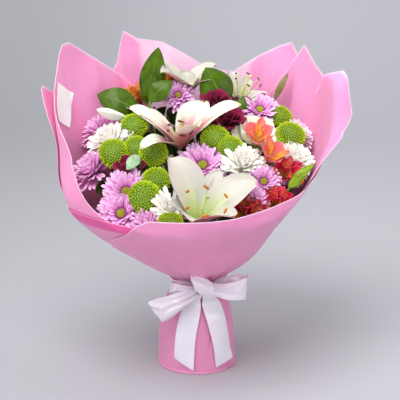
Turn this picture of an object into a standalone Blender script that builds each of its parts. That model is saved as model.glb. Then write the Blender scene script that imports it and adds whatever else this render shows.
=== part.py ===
"""A wrapped, hand-tied flower bouquet that stands on its own paper foot.

Units in the tables are millimetres and degrees, and MM turns them into metres.
The origin is the centre of the foot's flat base, +Z is up and -Y is the front.
Azimuth 0 is +X, 90 the back, 180 the left and -90 the front.

Every bloom sits on a domed surface that is tilted to the front. The florist's plan
names each head, where it is on the plan, how far it stands off the dome and its size.
The paper sheets share one flared form, each a layer further out than the one inside it.
"""
import math

import bmesh
import bpy
from mathutils import Matrix, Vector
from mathutils.bvhtree import BVHTree

MM = 0.001
BOUQUET = "flower_bouquet"

# Clearances and thin walls
GAP = 0.35               # between neighbouring pieces
PAPER = 0.8              # wrapping paper, with its folded edges
SATIN = 0.9              # ribbon
PETAL = 0.8
LEAF = 0.9
LABEL_WALL = 0.7

# The dome that the heads sit on
DOME_TOP = 318.0
DOME_SLOPE = 0.52        # rise to the back, per millimetre
DOME_CURVE = 0.00124

# The paper's flared form: radius of the innermost sheet at six heights, by azimuth
NECK_TOP = 122.0
HEM = 108.0
FORM_HEIGHTS = (NECK_TOP, 150.0, 190.0, 240.0, 300.0, 400.0)
NECK_RADIUS = 31.0
FORM = (
    (-120, (NECK_RADIUS, 66, 102, 150, 172, 185)),
    (-90, (NECK_RADIUS, 64, 96, 147, 170, 185)),
    (-60, (NECK_RADIUS, 62, 92, 138, 163, 180)),
    (-30, (NECK_RADIUS, 64, 92, 131, 161, 176)),
    (0, (NECK_RADIUS, 66, 95, 133, 164, 174)),
    (30, (NECK_RADIUS, 62, 90, 124, 150, 163)),
    (60, (NECK_RADIUS, 58, 86, 112, 134, 152)),
    (90, (NECK_RADIUS, 56, 82, 107, 130, 150)),
    (120, (NECK_RADIUS, 58, 86, 112, 134, 154)),
    (150, (NECK_RADIUS, 62, 96, 130, 148, 164)),
    (180, (NECK_RADIUS, 69, 117, 166, 176, 186)),
    (200, (NECK_RADIUS, 74, 131, 174, 172, 176)),
    (215, (NECK_RADIUS, 73, 124, 166, 168, 172)),
)
SHEET_ROWS = (HEM, NECK_TOP, 133.0, 152.0, 180.0, 212.0, 250.0, 300.0, 355.0, 430.0)
SHEET_COLUMN = 12        # step in azimuth between the columns that the sheets share
ROW_SNAP = 7.0           # a row this near below a rim is the rim
LAYER_AT_NECK = 2 * PAPER
LAYER_ABOVE = 3.0
LAYER_SPREAD = 30.0      # height over which the layers part

# Each sheet's rim, as azimuth and height, and its layer from the inside out
SHEETS = (
    ("wrap_left_sheet", 0, ((120, 330), (132, 364), (144, 387), (156, 409), (163, 420), (168, 419),
                            (175, 388), (180, 368), (192, 326), (204, 293), (216, 250), (228, 210),
                            (236, 178))),
    ("wrap_right_flap", 1, ((-24, 236), (-12, 277), (-4, 316), (0, 362), (4, 380), (8, 388),
                            (16, 378), (22, 352))),
    ("wrap_left_flap", 1, ((152, 296), (163, 341), (172, 360), (180, 374), (184, 370), (187, 320))),
    ("wrap_left_fold", 1, ((190, 200), (195, 225), (199, 233), (208, 229), (222, 227), (237, 222),
                           (244, 205))),
    ("wrap_front_sheet", 2, ((-166, 157), (-144, 194), (-132, 207), (-120, 228), (-112, 239),
                             (-96, 240), (-84, 240), (-72, 242), (-48, 250), (-24, 256), (-12, 266),
                             (-5, 278), (0, 306), (4, 352), (8, 365), (18, 375), (28, 396),
                             (33, 410), (40, 384), (48, 348), (56, 320))),
    ("wrap_back_sheet", 3, ((38, 396), (42, 410), (48, 404), (60, 386), (72, 364), (84, 366),
                            (96, 386), (108, 404), (120, 410), (127, 422), (132, 380), (144, 333),
                            (150, 312))),
)
FLAP_REACH = 22.0        # how far the right flap folds out past the front sheet's edge
FLAP_TOP_REACH = 15.0
FLAP_CLEAR = 10.0        # the right flap starts to fold out this far above the front sheet
LEFT_FLAP_REACH = 11.0
LEFT_FLAP_FROM = (164.0, 300.0)  # azimuth and height where the left flap starts to fold out

# The blank label on the left sheet's inner face: azimuth and height of its corners
LABEL_LOW = ((181, 335), (170.6, 312.4))
LABEL_HIGH = ((176, 375), (165.4, 356))

# The paper foot: height and outer radius, from the flat base up into the neck
FOOT_PROFILE = ((0, 0), (0, 46.8), (3.5, 49.8), (16, 50.6), (46, 49.4), (74, 45.6), (92, 40.2),
                (101, 36.0), (HEM - 1, 30.6), (126, 30.6))
FOOT_BULGE = 2.5         # how much fuller the foot is on its left side
FOOT_SIDES = 20
FOOT_PLEATS = 5
FOOT_PLEAT_DEPTH = 0.9
PLEATS_FULL = (21.0, 80.0)       # the pleats are full between these heights
PLEATS_END = (1.0, 104.0)

# Satin ribbon
RIBBON_WIDTH = 25.0
BAND_INNER = NECK_RADIUS + 3 * LAYER_AT_NECK + PAPER + GAP
BAND_LOW = 108.5
BAND_HIGH = 121.0
KNOT_CENTRE = (7.0, -49.3, 116.8)
KNOT_HALF = (17.0, 8.5, 9.0)
KNOT_SLOPE = 24.0        # its right end lies lower
KNOT_PLEAT = 0.07
KNOT_PLEATS = 3
KNOT_SQUARENESS = 0.7    # below 1, the knot's ball is boxier
TAIL_OFF_FOOT = 0.9
TAIL_AT_KNOT = 0.3       # share of the ribbon's width that a tail has where it is tied
LEFT_TAIL = ((-82, 114, 8), (-91, 103, 5), (-97, 90, 2), (-103, 74, 0), (-108, 50, 0), (-111, 13, 0))
LEFT_TAIL_CUT = 6.5      # how much higher the outer corner of a tail's end is than its middle
RIGHT_TAIL = ((-82, 114, 8), (-75, 103, 5), (-68, 90, 2), (-61, 74, 0), (-54, 48, 0), (-48, 12, 0))
RIGHT_TAIL_CUT = 4.5
LEFT_LOOP_END = (-57.0, -51.0, 84.0)
RIGHT_LOOP_END = (62.0, -54.0, 121.0)
LOOP_DEPTH = 7.0
LOOP_START = 0.16        # a loop leaves the knot this far along its way to its end
LOOP_AT_KNOT = 0.42      # share of the ribbon's width that a loop has where it is tied

# Stems: packed in rings at the waist, where a string ties them
STEM_RADIUS = 4.2
STEM_PITCH = 8.7
WAIST_HEIGHT = 5.0       # where the string squeezes the stems into one body
STEM_NECK = (2.4, 1.4)   # radii of a single stem below its head and at it
FORK_RADIUS = 3.2        # a stem where it forks
FORK_PEDICEL = (2.2, 2.0, 1.4)   # radii of a pedicel from the fork to its head
FORK_SHARE = 0.36        # how far up a forked stem its fork is
PEDICEL_RADIUS = 1.9
STEM_FOOT_RADIUS = 33.0
STEM_BOTTOM = 2.4
STEM_SPIRAL = 20.0       # turn from a stem's head to its place at the waist
STEM_CROSS = 25.0        # turn from the waist to the cut end
STRING_HEIGHT = 118.0
STRING_RADIUS = 0.9

# The florist's plan: stem, node, kind, x, y, lift off the dome, diameter, turn, lean x, lean y
PLAN = (
    ("s_lily_a", "lily_front", "lily", 5, -109, -5, 138, 0, 0.15, 0.38),
    ("s_lily_b", "lily_middle", "lily", -22, -2, 5, 146, 0, 0.09, 0.23),
    ("s_lily_c", "lily_back_left", "lily", -14, 96, 4, 84, 100, 0.10, 0.10),
    ("s_lily_c", "lily_back_right", "lily", 56, 90, -6, 84, 60, 0.15, 0.05),
    ("s_lily_b", "lily_bud_left", "bud", -96, 36, -6, 42, 0, -2.05, -0.86),
    ("s_lilac_a", "lilac_mum_center", "mum", 6, -38, -6, 68, 0, 0.00, 0.00),
    ("s_lilac_a", "lilac_mum_lower_back", "mum", 46, -76, -6, 51, 10, 0.00, 0.00),
    ("s_lilac_a", "lilac_mum_back", "mum", -27, 62, 12, 47, 5, 0.00, 0.00),
    ("s_lilac_b", "lilac_mum_right", "mum", 83, 54, 3, 56, 0, 0.05, 0.00),
    ("s_lilac_b", "lilac_mum_lower_right", "mum", 84, -62, 0, 51, 0, 0.05, 0.00),
    ("s_lilac_b", "lilac_mum_low_rim", "mum", 74, -88, -4, 42, 8, 0.20, -0.30),
    ("s_lilac_c", "lilac_mum_left_top", "mum", -134, 42, -12, 58, 0, -0.50, 0.00),
    ("s_lilac_c", "lilac_mum_left_edge", "mum", -136, -20, -10, 61, 7, -0.50, 0.00),
    ("s_lilac_d", "lilac_mum_left_low", "mum", -93, -74, 2, 63, 0, -0.15, 0.00),
    ("s_lilac_d", "lilac_mum_left_rim", "mum", -100, -98, -2, 63, 9, -0.40, -0.25),
    ("s_lilac_d", "lilac_mum_left_front", "mum", -64, -114, -8, 51, 4, -0.15, -0.40),
    ("s_blush", "blush_mum_right_edge", "mum", 140, 45, -8, 54, 0, 0.50, 0.00),
    ("s_white_a", "white_mum_left", "mum", -110, 12, 4, 63, 6, -0.15, 0.00),
    ("s_white_a", "white_mum_front", "mum", -38, -111, 5, 45, 3, 0.00, -0.30),
    ("s_white_b", "white_mum_center", "mum", 58, -42, 2, 61, 0, 0.00, 0.00),
    ("s_white_b", "white_mum_right", "mum", 128, -15, -2, 64, 5, 0.20, 0.00),
    ("s_green_a", "green_button_upper_left", "button", -77, 23, 0, 37, 0, 0.00, 0.00),
    ("s_green_a", "green_buttons_left", "button", -108, -24, 2, 44, 0, -0.05, 0.00),
    ("s_green_a", "green_buttons_left", "button", -80, -16, 0, 37, 5, 0.00, 0.00),
    ("s_green_b", "green_buttons_middle", "button", -54, -34, 2, 41, 0, 0.00, 0.00),
    ("s_green_b", "green_buttons_middle", "button", -56, -70, 0, 39, 6, 0.00, 0.00),
    ("s_green_b", "green_button_lower_left", "button", -66, -94, 4, 44, 3, 0.00, -0.10),
    ("s_green_b", "green_button_front", "button", -34, -125, 0, 32, 4, 0.00, -0.34),
    ("s_green_c", "green_buttons_center", "button", 22, -8, 2, 41, 0, 0.00, 0.00),
    ("s_green_c", "green_buttons_center", "button", 40, -20, -2, 39, 5, 0.00, 0.00),
    ("s_green_c", "green_buttons_right", "button", 124, 20, 3, 43, 0, 0.10, 0.00),
    ("s_green_c", "green_buttons_right", "button", 110, 58, -2, 34, 6, 0.10, 0.00),
    ("s_astro_a", "coral_alstroemeria", "astro", 77, -12, 9, 35, 20, 0.00, -0.15),
    ("s_astro_a", "coral_alstroemeria", "astro", 93, -35, 6, 36, 50, 0.05, -0.15),
    ("s_astro_b", "red_alstroemeria", "astro", 116, -44, 4, 38, 10, 0.10, -0.10),
    ("s_astro_b", "red_alstroemeria", "astro", 100, -82, -3, 38, 40, 0.15, -0.15),
    ("s_astro_c", "crimson_alstroemeria", "astro", 62, -104, 0, 43, 15, 0.05, -0.20),
    ("s_astro_d", "gold_alstroemeria_left", "astro", -84, 96, 4, 37, 30, -0.10, 0.10),
    ("s_astro_d", "gold_alstroemeria_right", "astro", -33, 108, 8, 34, 0, 0.00, 0.10),
    ("s_carn_a", "crimson_carnations", "carnation", 38, 26, 2, 49, 0, 0.00, 0.00),
    ("s_carn_a", "crimson_carnations", "carnation", 24, 60, 4, 40, 8, 0.00, 0.00),
    ("s_carn_b", "crimson_carnation_left", "carnation", -94, -42, -2, 36, 4, 0.00, 0.00),
    ("s_cream", "cream_rose", "rose", 76, 19, 2, 68, 0, 0.00, -0.15),
)
HEAD_DEPTH = {"lily": 34, "bud": 10, "mum": 20, "button": 20, "astro": 28, "carnation": 24, "rose": 26}
DEPTH_AT = {"lily": 138, "bud": 62}      # the diameter at which HEAD_DEPTH holds
DEPTH_AT_OTHERS = 45
CELL = {"lily": 0.15, "astro": 0.40, "bud": 0.14}    # share of the diameter that presses on others
CELL_OTHERS = 0.5
PAPER_CLEAR = 3.0        # from a pressed petal to the innermost sheet
OVERLYING = ("lily", "bud")              # heads that lie over the others and aren't pressed
OVERLAY_CLEAR = 3.0      # from a pressed petal to one that lies over it
SPRAY_DROP = 26.0        # from the heads of a forked node to its seat
SEAT_DROP = 7.0          # from a whorled head to its seat
HEAD_RISE = 13.0         # last run of a stem, along the axis of its head
LEAF_RISE = 26.0
SEATED = ("mum", "button", "carnation", "rose", "bud")   # heads whose own base is the seat
LILY_PETALS = {          # turn, length, width and the angle of its chord, for each petal
    "lily_front": ((26, 87, 38, 39), (72, 73, 24, 39), (129, 93, 42, 40), (163, 72, 24, 42),
                   (252, 52, 36, 44), (322, 64, 24, 43)),
    "lily_middle": ((15, 93, 22, 38), (62, 71, 36, 32), (140, 92, 22, 15), (185, 68, 40, 46),
                    (231, 81, 22, 26), (304, 64, 34, 56)),
    "lily_back_left": ((0, 30, 24, 52), (60, 56, 16, 44), (120, 54, 26, 44), (180, 46, 16, 40),
                       (240, 46, 26, 42), (300, 46, 16, 42)),
    "lily_back_right": ((10, 44, 16, 40), (64, 46, 24, 48), (120, 32, 14, 54), (180, 24, 18, 54),
                        (240, 42, 16, 42), (300, 42, 22, 40)),
}
LILY_DROOP = 44          # how far a lily petal turns over along its length
STAMENS = ("lily_front", "lily_middle")

# Leaves: node, stem, then for each blade its base, tip, width, and how far it arches
LEAVES = (
    ("leaves_tall", "s_leaf_a", (((-66, 80, 334), (-52, 84, 408), 34, 6),
                                 ((-66, 66, 334), (-60, 62, 380), 22, 4))),
    ("leaf_left", "s_leaf_a", (((-86, 63, 340), (-132, 69, 350), 34, 7),)),
    ("leaf_middle", "s_leaf_a", (((-64, 50, 344), (-34, 58, 368), 26, 5),)),
    ("leaf_square", "s_leaf_b", (((36, 74, 334), (13, 80, 380), 40, 6),)),
    ("leaf_upright", "s_leaf_b", (((53, 52, 316), (59, 60, 348), 18, 4),)),
    ("leaf_right", "s_astro_b", (((112, -66, 260), (152, -52, 288), 14, 5),)),
    ("leaf_narrow", "s_leaf_b", (((102, 84, 338), (120, 92, 372), 8, 5),)),
    ("leaf_pale", "s_carn_b", (((-74, -46, 295), (-88, -64, 281), 15, 3),)),
)

# Colours, as linear red, green and blue
COLOURS = {
    "wrap": (0.84, 0.31, 0.57), "satin": (0.80, 0.76, 0.82), "label": (0.86, 0.84, 0.88),
    "stem": (0.10, 0.20, 0.03), "string": (0.55, 0.42, 0.25), "leaf": (0.06, 0.16, 0.01),
    "lily": (0.80, 0.78, 0.66), "bud": (0.82, 0.82, 0.76), "lilac": (0.60, 0.24, 0.48),
    "blush": (0.80, 0.66, 0.74), "white": (0.90, 0.88, 0.84), "green": (0.30, 0.44, 0.01),
    "coral": (0.80, 0.22, 0.10), "red": (0.55, 0.03, 0.04), "crimson": (0.28, 0.01, 0.03),
    "gold": (0.85, 0.45, 0.08), "cream": (0.86, 0.84, 0.62), "anther": (0.45, 0.14, 0.03),
}


def smooth(t):
    t = min(1.0, max(0.0, t))
    return t * t * (3 - 2 * t)


def curve_through(knots, x):
    """A smooth curve through (x, value) knots, with the slopes of their neighbours."""
    if x <= knots[0][0]:
        return knots[0][1]
    if x >= knots[-1][0]:
        return knots[-1][1]
    i = max(k for k in range(len(knots) - 1) if knots[k][0] <= x)

    def slope(k):
        a, b = knots[max(k - 1, 0)], knots[min(k + 1, len(knots) - 1)]
        return (b[1] - a[1]) / (b[0] - a[0])
    (x0, y0), (x1, y1) = knots[i], knots[i + 1]
    w = x1 - x0
    t = (x - x0) / w
    return ((2 * t**3 - 3 * t**2 + 1) * y0 + (t**3 - 2 * t**2 + t) * w * slope(i)
            + (3 * t**2 - 2 * t**3) * y1 + (t**3 - t**2) * w * slope(i + 1))


def line_through(knots, x):
    """Straight runs through (x, value) knots."""
    if x <= knots[0][0]:
        return knots[0][1]
    for (x0, y0), (x1, y1) in zip(knots, knots[1:]):
        if x <= x1:
            return y0 + (y1 - y0) * (x - x0) / (x1 - x0)
    return knots[-1][1]


def polar(azimuth, radius, height):
    a = math.radians(azimuth)
    return Vector((radius * math.cos(a), radius * math.sin(a), height))


def meridian_radius(azimuth, height):
    """Radius of the innermost sheet where a shared column meets a shared row."""
    if height <= NECK_TOP:
        return NECK_RADIUS
    azimuth = (azimuth + 120) % 360 - 120
    around = [(a - 360, r) for a, r in FORM[-2:]] + list(FORM) + [(a + 360, r) for a, r in FORM[:2]]
    at_height = [(a, curve_through(list(zip(FORM_HEIGHTS, r)), height)) for a, r in around]
    return curve_through(at_height, azimuth)


def layer_offset(layer, height):
    spread = smooth((height - NECK_TOP) / LAYER_SPREAD)
    return layer * (LAYER_AT_NECK + (LAYER_ABOVE - LAYER_AT_NECK) * spread)


def form_point(azimuth, height, layer=0, inward=0.0):
    """A point of the paper's form, which runs straight between the shared columns and rows."""
    low = math.floor(azimuth / SHEET_COLUMN) * SHEET_COLUMN
    ends = []
    for column in (low, low + SHEET_COLUMN):
        knots = [(z, meridian_radius(column, z) + layer_offset(layer, z)) for z in SHEET_ROWS]
        ends.append(polar(column, line_through(knots, height) - inward, height))
    return ends[0].lerp(ends[1], (azimuth - low) / SHEET_COLUMN)


def flare(name, azimuth, height):
    """How far a flap folds out from the common form."""
    if name == "wrap_right_flap":
        front = next(rim for n, _, rim in SHEETS if n == "wrap_front_sheet")
        above = height - line_through(front, azimuth)
        corner = FLAP_REACH * smooth((0.5 - azimuth) / 3.5) * smooth((above - FLAP_CLEAR) / 40)
        top = FLAP_TOP_REACH * smooth((azimuth - 0.5) / 4) * smooth((above - FLAP_CLEAR) / 16)
        return corner + top
    if name == "wrap_left_flap":
        start, low = LEFT_FLAP_FROM
        return LEFT_FLAP_REACH * smooth((height - low) / 70) * smooth((azimuth - start) / 14)
    return 0.0


def sheet_point(name, layer, azimuth, height):
    return form_point(azimuth, height, layer) + polar(azimuth, flare(name, azimuth, height), 0)


def dome(x, y):
    return DOME_TOP + DOME_SLOPE * y - DOME_CURVE * (x * x + y * y)


def facing(x, y, lean_x, lean_y):
    """Direction that a head faces: the dome's normal, leaned a little."""
    normal = Vector((2 * DOME_CURVE * x + lean_x, 2 * DOME_CURVE * y - DOME_SLOPE + lean_y, 1))
    return normal.normalized()


def frame_at(origin, axis, turn):
    """Matrix of a head's own frame: Z along its axis, X turned about it from the right."""
    side = Vector((1, 0, 0))
    x = (side - axis * side.dot(axis)).normalized()
    y = axis.cross(x)
    basis = Matrix((x, y, axis)).transposed().to_4x4()
    return Matrix.Translation(origin) @ basis @ Matrix.Rotation(math.radians(turn), 4, "Z")


def material(tone):
    found = bpy.data.materials.get(tone)
    if found:
        return found
    new = bpy.data.materials.new(tone)
    new.use_nodes = True
    shader = new.node_tree.nodes["Principled BSDF"]
    shader.inputs["Base Color"].default_value = (*COLOURS[tone], 1)
    shader.inputs["Roughness"].default_value = 0.35 if tone in ("satin", "leaf") else 0.6
    shader.inputs["Metallic"].default_value = 0.0
    return new


def new_object(name, bm, tone, group):
    """Link a bmesh, whose points are in millimetres, as an object in metres."""
    bmesh.ops.scale(bm, vec=(MM, MM, MM), verts=bm.verts)
    mesh = bpy.data.meshes.new(name)
    bm.to_mesh(mesh)
    bm.free()
    obj = bpy.data.objects.new(name, mesh)
    group.objects.link(obj)
    mesh.materials.append(material(tone))
    return obj


def mapped_grid(columns, rows, place):
    """A grid whose point (column, row) goes to place(column, row), with merged points."""
    bm = bmesh.new()
    bmesh.ops.create_grid(bm, x_segments=columns, y_segments=rows, size=0.5)
    for v in bm.verts:
        v.co = place(round((v.co.x + 0.5) * columns), round((v.co.y + 0.5) * rows))
    bmesh.ops.remove_doubles(bm, verts=bm.verts, dist=0.01)
    bmesh.ops.dissolve_degenerate(bm, dist=0.01, edges=bm.edges)
    bmesh.ops.triangulate(bm, faces=bm.faces)
    return bm


def solidify(obj, wall, offset):
    wall_modifier = obj.modifiers.new("wall", "SOLIDIFY")
    wall_modifier.thickness = wall * MM
    wall_modifier.offset = offset
    wall_modifier.use_even_offset = True
    wall_modifier.use_quality_normals = True


def apply_all(obj):
    """Replace an object's mesh with its evaluated one."""
    graph = bpy.context.evaluated_depsgraph_get()
    mesh = bpy.data.meshes.new_from_object(obj.evaluated_get(graph))
    obj.modifiers.clear()
    obj.data = mesh


def fuse(obj, pieces):
    """Boolean union of an object with a collection of others, applied."""
    batch = bpy.data.collections.new("batch")
    bpy.context.scene.collection.children.link(batch)
    for piece in pieces:
        for group in list(piece.users_collection):
            group.objects.unlink(piece)
        batch.objects.link(piece)
    union = obj.modifiers.new("union", "BOOLEAN")
    union.operation = "UNION"
    union.operand_type = "COLLECTION"
    union.collection = batch
    union.solver = "MANIFOLD"
    bpy.context.view_layer.update()
    apply_all(obj)
    for piece in pieces:
        bpy.data.objects.remove(piece)
    bpy.data.collections.remove(batch)
    return obj


def build_sheet(name, layer, rim, group):
    """One sheet: its columns take in the shared ones, and its rows end at its rim."""
    first, last = rim[0][0], rim[-1][0]
    shared = [a for a in range(-360, 361, SHEET_COLUMN) if first < a < last]
    own = [a for a, _ in rim if all(abs(a - b) > 2.5 for b in shared) or a in (first, last)]
    azimuths = sorted(set(shared + own))
    front = next(r for n, _, r in SHEETS if n == "wrap_front_sheet")

    def place(column, row):
        azimuth = azimuths[column]
        top = line_through(rim, azimuth)
        rows = list(SHEET_ROWS[:-1]) + [top]
        if name == "wrap_right_flap":
            rows = sorted(rows[:-1] + [line_through(front, azimuth) + 4]) + [top]
        height = rows[min(row, len(rows) - 1)]
        if height > top - ROW_SNAP:
            height = top
        return sheet_point(name, layer, azimuth, height)
    rows = len(SHEET_ROWS) - 1 + (1 if name == "wrap_right_flap" else 0)
    sheet = new_object(name, mapped_grid(len(azimuths) - 1, rows, place), "wrap", group)
    solidify(sheet, PAPER, 1.0)
    return sheet


def build_label(group):
    """A blank sticker that lies on the left sheet's inner face."""
    columns, rows = 2, 3
    inside = GAP + LABEL_WALL

    def place(column, row):
        s, t = column / columns, row / rows
        low = [a + (b - a) * s for a, b in zip(*LABEL_LOW)]
        high = [a + (b - a) * s for a, b in zip(*LABEL_HIGH)]
        azimuth, height = (a + (b - a) * t for a, b in zip(low, high))
        return form_point(azimuth, height, 0, inside)
    label = new_object("label", mapped_grid(columns, rows, place), "label", group)
    solidify(label, LABEL_WALL, 1.0)
    return label


def foot_radius(height):
    return line_through(FOOT_PROFILE[1:], height)


def build_foot(group):
    """Paper gathered under the cut stems and up into the neck, with shallow pleats."""
    def place(column, row):
        height, radius = FOOT_PROFILE[row]
        azimuth = 360.0 * column / FOOT_SIDES
        rise = (height - PLEATS_END[0]) / (PLEATS_FULL[0] - PLEATS_END[0])
        fall = (PLEATS_END[1] - height) / (PLEATS_END[1] - PLEATS_FULL[1])
        depth = FOOT_PLEAT_DEPTH * smooth(rise) * smooth(fall)
        bulge = FOOT_BULGE * max(0.0, -math.cos(math.radians(azimuth))) ** 2 * smooth(fall)
        pleat = depth * (1 + math.cos(math.radians(FOOT_PLEATS * azimuth)))
        return polar(azimuth, radius + (bulge if row > 0 else 0.0) - pleat, height)
    bm = mapped_grid(FOOT_SIDES, len(FOOT_PROFILE) - 1, place)
    foot = new_object("paper_foot", bm, "wrap", group)
    solidify(foot, PAPER, -1.0)
    return foot


def turned_ring(name, profile, tone, group, steps=24):
    """A closed ring turned from its section, which runs down its outer side."""
    bm = bmesh.new()
    section = [bm.verts.new((r, 0, z)) for r, z in profile]
    for a, b in zip(section, section[1:] + section[:1]):
        bm.edges.new((a, b))
    ring = new_object(name, bm, tone, group)
    screw = ring.modifiers.new("turn", "SCREW")
    screw.steps = steps
    screw.render_steps = steps
    screw.use_merge_vertices = True
    screw.merge_threshold = 0.00001
    return ring


def ribbon_strip(name, centres, widths):
    """A flat strip of ribbon through centre points, each with its own half-width vector."""
    rows = len(centres) - 1

    def place(column, row):
        return Vector(centres[row]) + Vector(widths[row]) * (column - 1)
    strip = new_object(name, mapped_grid(2, rows, place), "satin", bpy.context.scene.collection)
    solidify(strip, SATIN, 0.0)
    return strip


def tail(name, path, cut):
    """A tail that lies down the front of the foot."""
    rows = len(path) - 1

    def place(column, row):
        azimuth, height, off = path[row]
        radius = max(foot_radius(height), BAND_INNER + SATIN) + TAIL_OFF_FOOT + SATIN + off
        share = TAIL_AT_KNOT + (1 - TAIL_AT_KNOT) * smooth(row / 3)
        half = math.degrees(0.5 * RIBBON_WIDTH * share / radius)
        side = column - 1
        drop = cut * side if row == rows else 0.0
        return polar(azimuth + half * side, radius, height + drop)
    strip = new_object(name, mapped_grid(2, rows, place), "satin", bpy.context.scene.collection)
    solidify(strip, SATIN, 0.0)
    return strip


def loop(name, end, width_direction):
    """A bow loop: out from the knot, round at its end and back, flattened front to back."""
    start, end = Vector(KNOT_CENTRE), Vector(end)
    steps = 12
    centres, widths = [], []
    for i in range(steps + 1):
        angle = 2 * math.pi * i / steps
        out = 0.5 - 0.5 * math.cos(angle)
        centre = start.lerp(end, LOOP_START + (1 - LOOP_START) * out)
        centre.y += LOOP_DEPTH * math.sin(angle) * (0.35 + 0.65 * out)
        centres.append(centre)
        share = LOOP_AT_KNOT + (1 - LOOP_AT_KNOT) * out
        widths.append(Vector(width_direction) * 0.5 * RIBBON_WIDTH * share)
    return ribbon_strip(name, centres, widths)


def build_ribbon(group):
    outer = BAND_INNER + SATIN
    section = ((outer, BAND_HIGH), (outer + 0.5, 0.5 * (BAND_LOW + BAND_HIGH)), (outer, BAND_LOW),
               (BAND_INNER, BAND_LOW), (BAND_INNER, BAND_HIGH))
    turned_ring("ribbon_band", section, "satin", group)
    bm = bmesh.new()
    bmesh.ops.create_uvsphere(bm, u_segments=12, v_segments=8, radius=1.0)
    slope = Matrix.Rotation(math.radians(KNOT_SLOPE), 4, "Y")
    for v in bm.verts:
        pleat = 1 + KNOT_PLEAT * math.cos(KNOT_PLEATS * math.pi * v.co.z)
        boxed = [math.copysign(abs(c) ** KNOT_SQUARENESS, c) * pleat for c in v.co]
        v.co = Vector(KNOT_CENTRE) + slope @ Vector([c * h for c, h in zip(boxed, KNOT_HALF)])
    bow = new_object("ribbon_bow", bm, "satin", group)
    strips = [
        loop("loop_left", LEFT_LOOP_END, (0.50, 0.0, -0.87)),
        loop("loop_right", RIGHT_LOOP_END, (0.10, 0.0, 0.99)),
        tail("tail_left", LEFT_TAIL, -LEFT_TAIL_CUT),
        tail("tail_right", RIGHT_TAIL, RIGHT_TAIL_CUT),
    ]
    return fuse(bow, strips)


def petal(length, width, rise, droop, base_width, cup, rows=4):
    """One petal along +X and up: a blade with a shallow channel, pointed at its tip.

    rise is how steeply it leaves the base, in degrees, droop how far it turns over.
    """
    def place(column, row):
        t = row / rows
        angle = math.radians(rise - 0.5 * droop * t)
        along, up = length * t * math.cos(angle), length * t * math.sin(angle)
        half = 0.5 * (base_width * (1 - t) + width * math.sin(math.pi * t ** 1.25))
        half *= 0.0 if row == rows else 1.0
        side = column - 1
        return Vector((along, half * side, up + cup * half * abs(side)))
    return mapped_grid(2, rows, place)


def petal_rows(length):
    return 3 if length > 45 else 2


def whorl(size, matrix, press, tone, throat, height, blades):
    """Petals round a short six-sided throat, each one rooted in a face of its own.

    blades holds (turn, length, width, rise, droop) for each petal.
    """
    core = bmesh.new()
    bmesh.ops.create_cone(core, cap_ends=True, segments=6, radius1=throat * 0.75, radius2=throat,
                          depth=height)
    bmesh.ops.triangulate(core, faces=core.faces)
    half_turn = Matrix.Rotation(math.radians(30), 4, "Z")
    place = matrix @ Matrix.Translation((0, 0, height / 2)) @ half_turn
    bmesh.ops.transform(core, matrix=place, verts=core.verts)
    pieces = [new_object("throat", core, tone, bpy.context.scene.collection)]
    inner = throat * math.cos(math.radians(30)) - 1.4
    for turn, length, width, rise, droop in blades:
        blade = petal(length, width, rise, droop, throat * 0.62, 0.28, petal_rows(length))
        spin = Matrix.Rotation(math.radians(turn), 4, "Z")
        out = Matrix.Translation((inner, 0, height * 0.5))
        pieces.append(petal_piece("petal", blade, matrix @ spin @ out, press, tone))
    return pieces


def petal_piece(name, bm, matrix, press, tone):
    bmesh.ops.transform(bm, matrix=matrix, verts=bm.verts)
    for v in bm.verts:
        v.co = press(v.co, PETAL)
    piece = new_object(name, bm, tone, bpy.context.scene.collection)
    solidify(piece, PETAL, 0.0)
    return piece


def cone_between(name, low, high, low_radius, high_radius, tone, sides=6):
    """A closed cone or rod between two points."""
    low, high = Vector(low), Vector(high)
    axis = high - low
    bm = bmesh.new()
    bmesh.ops.create_cone(bm, cap_ends=True, segments=sides, radius1=low_radius,
                          radius2=high_radius, depth=axis.length)
    turn = axis.to_track_quat("Z", "Y").to_matrix().to_4x4()
    bmesh.ops.transform(bm, matrix=Matrix.Translation((low + high) / 2) @ turn, verts=bm.verts)
    return new_object(name, bm, tone, bpy.context.scene.collection)


def ringed_head(name, rings, count, shape, matrix, press, tone):
    """A closed head: a sphere whose rings go to shape(ring, step), as radius and height."""
    bm = bmesh.new()
    bmesh.ops.create_uvsphere(bm, u_segments=2 * count, v_segments=rings + 1, radius=1.0)
    for v in bm.verts:
        level = round((1 - math.acos(max(-1, min(1, v.co.z))) / math.pi) * (rings + 1))
        angle = math.atan2(v.co.y, v.co.x)
        radius, height = shape(level, round(angle / math.pi * count) % (2 * count))
        v.co = (radius * math.cos(angle), radius * math.sin(angle), height)
    bmesh.ops.transform(bm, matrix=matrix, verts=bm.verts)
    for v in bm.verts:
        v.co = press(v.co, 0.0)
    bmesh.ops.triangulate(bm, faces=bm.faces)
    return new_object(name, bm, tone, bpy.context.scene.collection)


def mum_head(name, size, matrix, press, tone):
    """A chrysanthemum: three whorls of petals, each a star set half a step from the last."""
    depth = HEAD_DEPTH["mum"] * size / 45
    tips = ((0.50, 0.46), (0.39, 0.76), (0.24, 0.98))
    last = 2 * len(tips) + 2

    def shape(level, step):
        if level < 2:
            return 0.09 * size * level, 0.0
        if level == last:
            return 0.0, 0.88 * depth
        whorl_at, part = divmod(level - 2, 2)
        reach, height = tips[whorl_at]
        if part == 0:
            tip = step % 2 == whorl_at % 2
            return size * reach * (1.0 if tip else 0.74), depth * height
        inner = tips[whorl_at + 1][0] if whorl_at < 2 else 0.16
        return size * inner * 0.72, depth * (height + 0.05)
    return ringed_head(name, last - 1, 8 if size > 56 else 7, shape, matrix, press, tone)


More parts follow.
